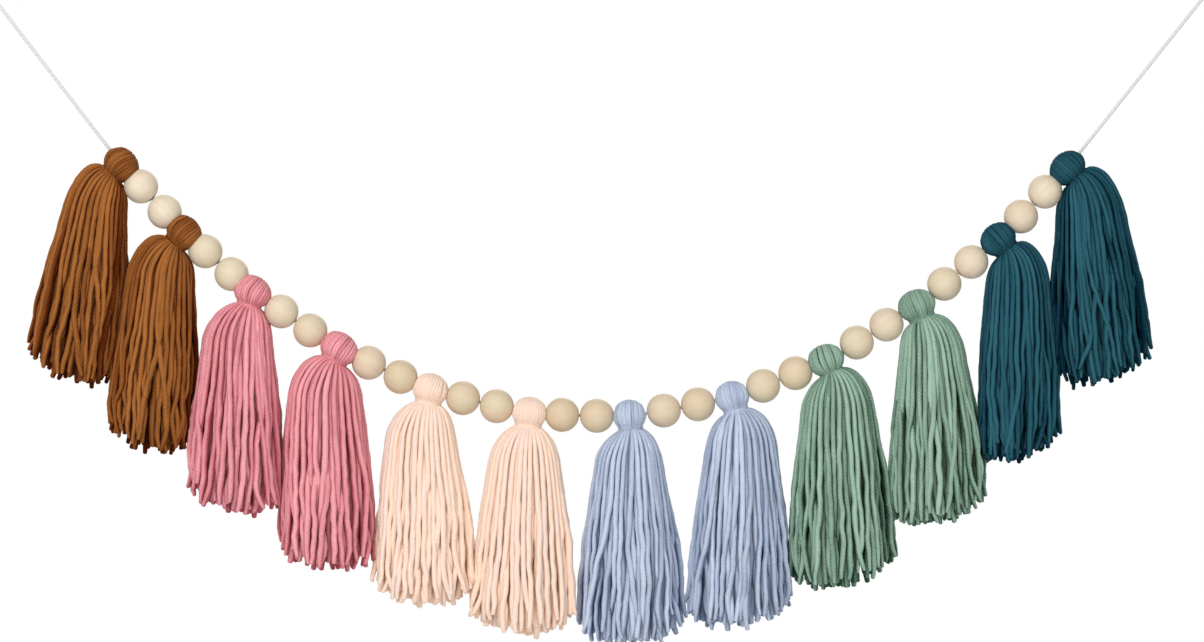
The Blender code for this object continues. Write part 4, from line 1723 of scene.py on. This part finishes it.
@dataclass
class Studio:
    """Plain pale floor and soft light from in front and above, in metres and watts."""

    middle: Triple = (0.384, 0.0, -0.2)
    lamps: tuple[tuple[str, Triple, float], ...] = (
        ("key", (-0.25, -1.55, 0.82), 29.0),
        ("fill", (1.2, -1.5, -0.5), 11.0),
        ("back", (0.6, 1.8, 0.7), 17.0),
    )
    lamp_size: float = 1.2
    floor_level: float = -0.64
    floor_reach: float = 2.2
    floor_sides: int = 64
    floor_grey: float = 0.86
    floor_roughness: float = 0.8
    ambient: float = 0.33

    def light(self, name: str, place: Triple, power: float) -> None:
        """Add one soft square light that faces the garland.

        Args:
            name: Its name.
            place: Where it stands.
            power: Its power.
        """
        lamp = bpy.data.lights.new(name, "AREA")
        lamp.shape = "SQUARE"
        lamp.size = self.lamp_size
        lamp.energy = power
        item = added(name, lamp)
        item.location = place
        way = Vector(self.middle) - Vector(place)
        item.rotation_euler = way.to_track_quat("-Z", "Y").to_euler()

    def floor(self) -> None:
        """Lay the pale floor."""
        turn = np.linspace(0.0, FULL_TURN, self.floor_sides, endpoint=False)
        corners = [(self.middle[0] + self.floor_reach * math.cos(angle),
                    self.floor_reach * math.sin(angle), self.floor_level) for angle in turn]
        mesh = bpy.data.meshes.new("floor")
        mesh.from_pydata(corners, [], [list(range(len(corners)))])
        material = bpy.data.materials.new("pale_floor")
        Graph(material, "Principled BSDF").surface(
            BaseColor=(self.floor_grey,) * 3, Roughness=self.floor_roughness)
        mesh.materials.append(material)
        added("floor", mesh)

    def sky(self) -> None:
        """Set a white sky that lights the garland less than it shows."""
        world = bpy.data.worlds.new("studio")
        graph = Graph(world, "Background")
        seen = graph.node("LightPath", output="Is Camera Ray")
        graph.surface(Color=WHITE, Strength=seen * (1.0 - self.ambient) + self.ambient)
        bpy.context.scene.world = world

    def build(self) -> None:
        """Set the floor, the sky and the lights."""
        bpy.context.scene.view_settings.view_transform = "Standard"
        self.sky()
        self.floor()
        for name, place, power in self.lamps:
            self.light(name, place, power)


@dataclass
class Garland:
    """The whole garland, with the tone of each bead and the overlaps of the skirts."""

    swag: Swag = field(default_factory=Swag)
    beside: float = 45.0
    first_tuck: float = 3.5
    inner_tuck: float = 2.0
    last_tuck: float = 3.0
    end_trim: float = 2.2
    inner_trim: float = 0.6
    tan_least: float = 0.05
    tan_range: float = 0.9
    tan_middle: float = 0.75
    tan_power: float = 1.5
    tan_mixed: float = 0.35
    tan_even: float = 0.4
    tan_step: float = 0.618

    def bead_tan(self, number: int, count: int) -> float:
        """How tan a bead is, from the pale ones at the ends to the middle of the garland.

        Args:
            number: The bead's number.
            count: How many beads there are.

        Returns:
            Share of the tan colour.
        """
        from_middle = abs(2.0 * (number - 1) / (count - 1) - 1.0)
        mixed = (number * self.tan_step) % 1.0
        tan = self.tan_middle * (1.0 - from_middle ** self.tan_power)
        tan += self.tan_mixed * (mixed - self.tan_even)
        return self.tan_least + self.tan_range * min(1.0, max(0.0, tan))

    def overlap(self, number: int) -> Overlap:
        """How a tassel's skirt meets its neighbours.

        Args:
            number: The tassel's number.

        Returns:
            Its overlap.
        """
        last = len(TASSELS)
        left = self.last_tuck if number == last else 0.0
        right = self.first_tuck if number == 1 else self.inner_tuck if number < last - 1 else 0.0
        return Overlap(left, right, self.end_trim if number in (1, last) else self.inner_trim)

    def tassels(self, heads: list[Threaded], beads: list[Threaded]) -> list[Tassel]:
        """Lay all the tassels and part their strands.

        Args:
            heads: The heads on the cord.
            beads: The beads on the cord.

        Returns:
            The tassels, which are still to be built.
        """
        tassels = []
        for number, (size, tied, item) in enumerate(zip(TASSELS, NECKS, heads), start=1):
            beside = [bead.middle for bead in beads
                      if np.linalg.norm(bead.middle - item.middle) < self.beside]
            skirt = Skirt(size, tied, item.middle, beside, self.overlap(number))
            tassels.append(Tassel(Head(item.middle, size.ball, tied), skirt, number))
            tassels[-1].lay()
        for tassel, following in zip(tassels[:-2], tassels[1:-1]):
            tassel.part_from(following)
        tassels[-1].part_from(tassels[-2])
        return tassels

    def build(self) -> None:
        """Make the cord, the beads and the tassels."""
        threaded = self.swag.thread()
        heads, beads = ([item for item in threaded if item.kind is kind] for kind in Kind)
        Cord(self.swag, threaded).build(CORD_FINISH.material())
        materials = {yarn: finish.material() for yarn, finish in YARN_FINISHES.items()}
        wood = WoodFinish().material()
        for number, item in enumerate(beads, start=1):
            Bead(item, number, self.bead_tan(number, len(beads))).build(wood)
        for tassel in self.tassels(heads, beads):
            tassel.build(materials[tassel.skirt.size.yarn])


def main() -> None:
    """Build the garland and its studio."""
    logging.basicConfig(level=logging.INFO, format="%(message)s")
    Camera().place()
    Garland().build()
    Studio().build()


if __name__ == "__main__":
    main()
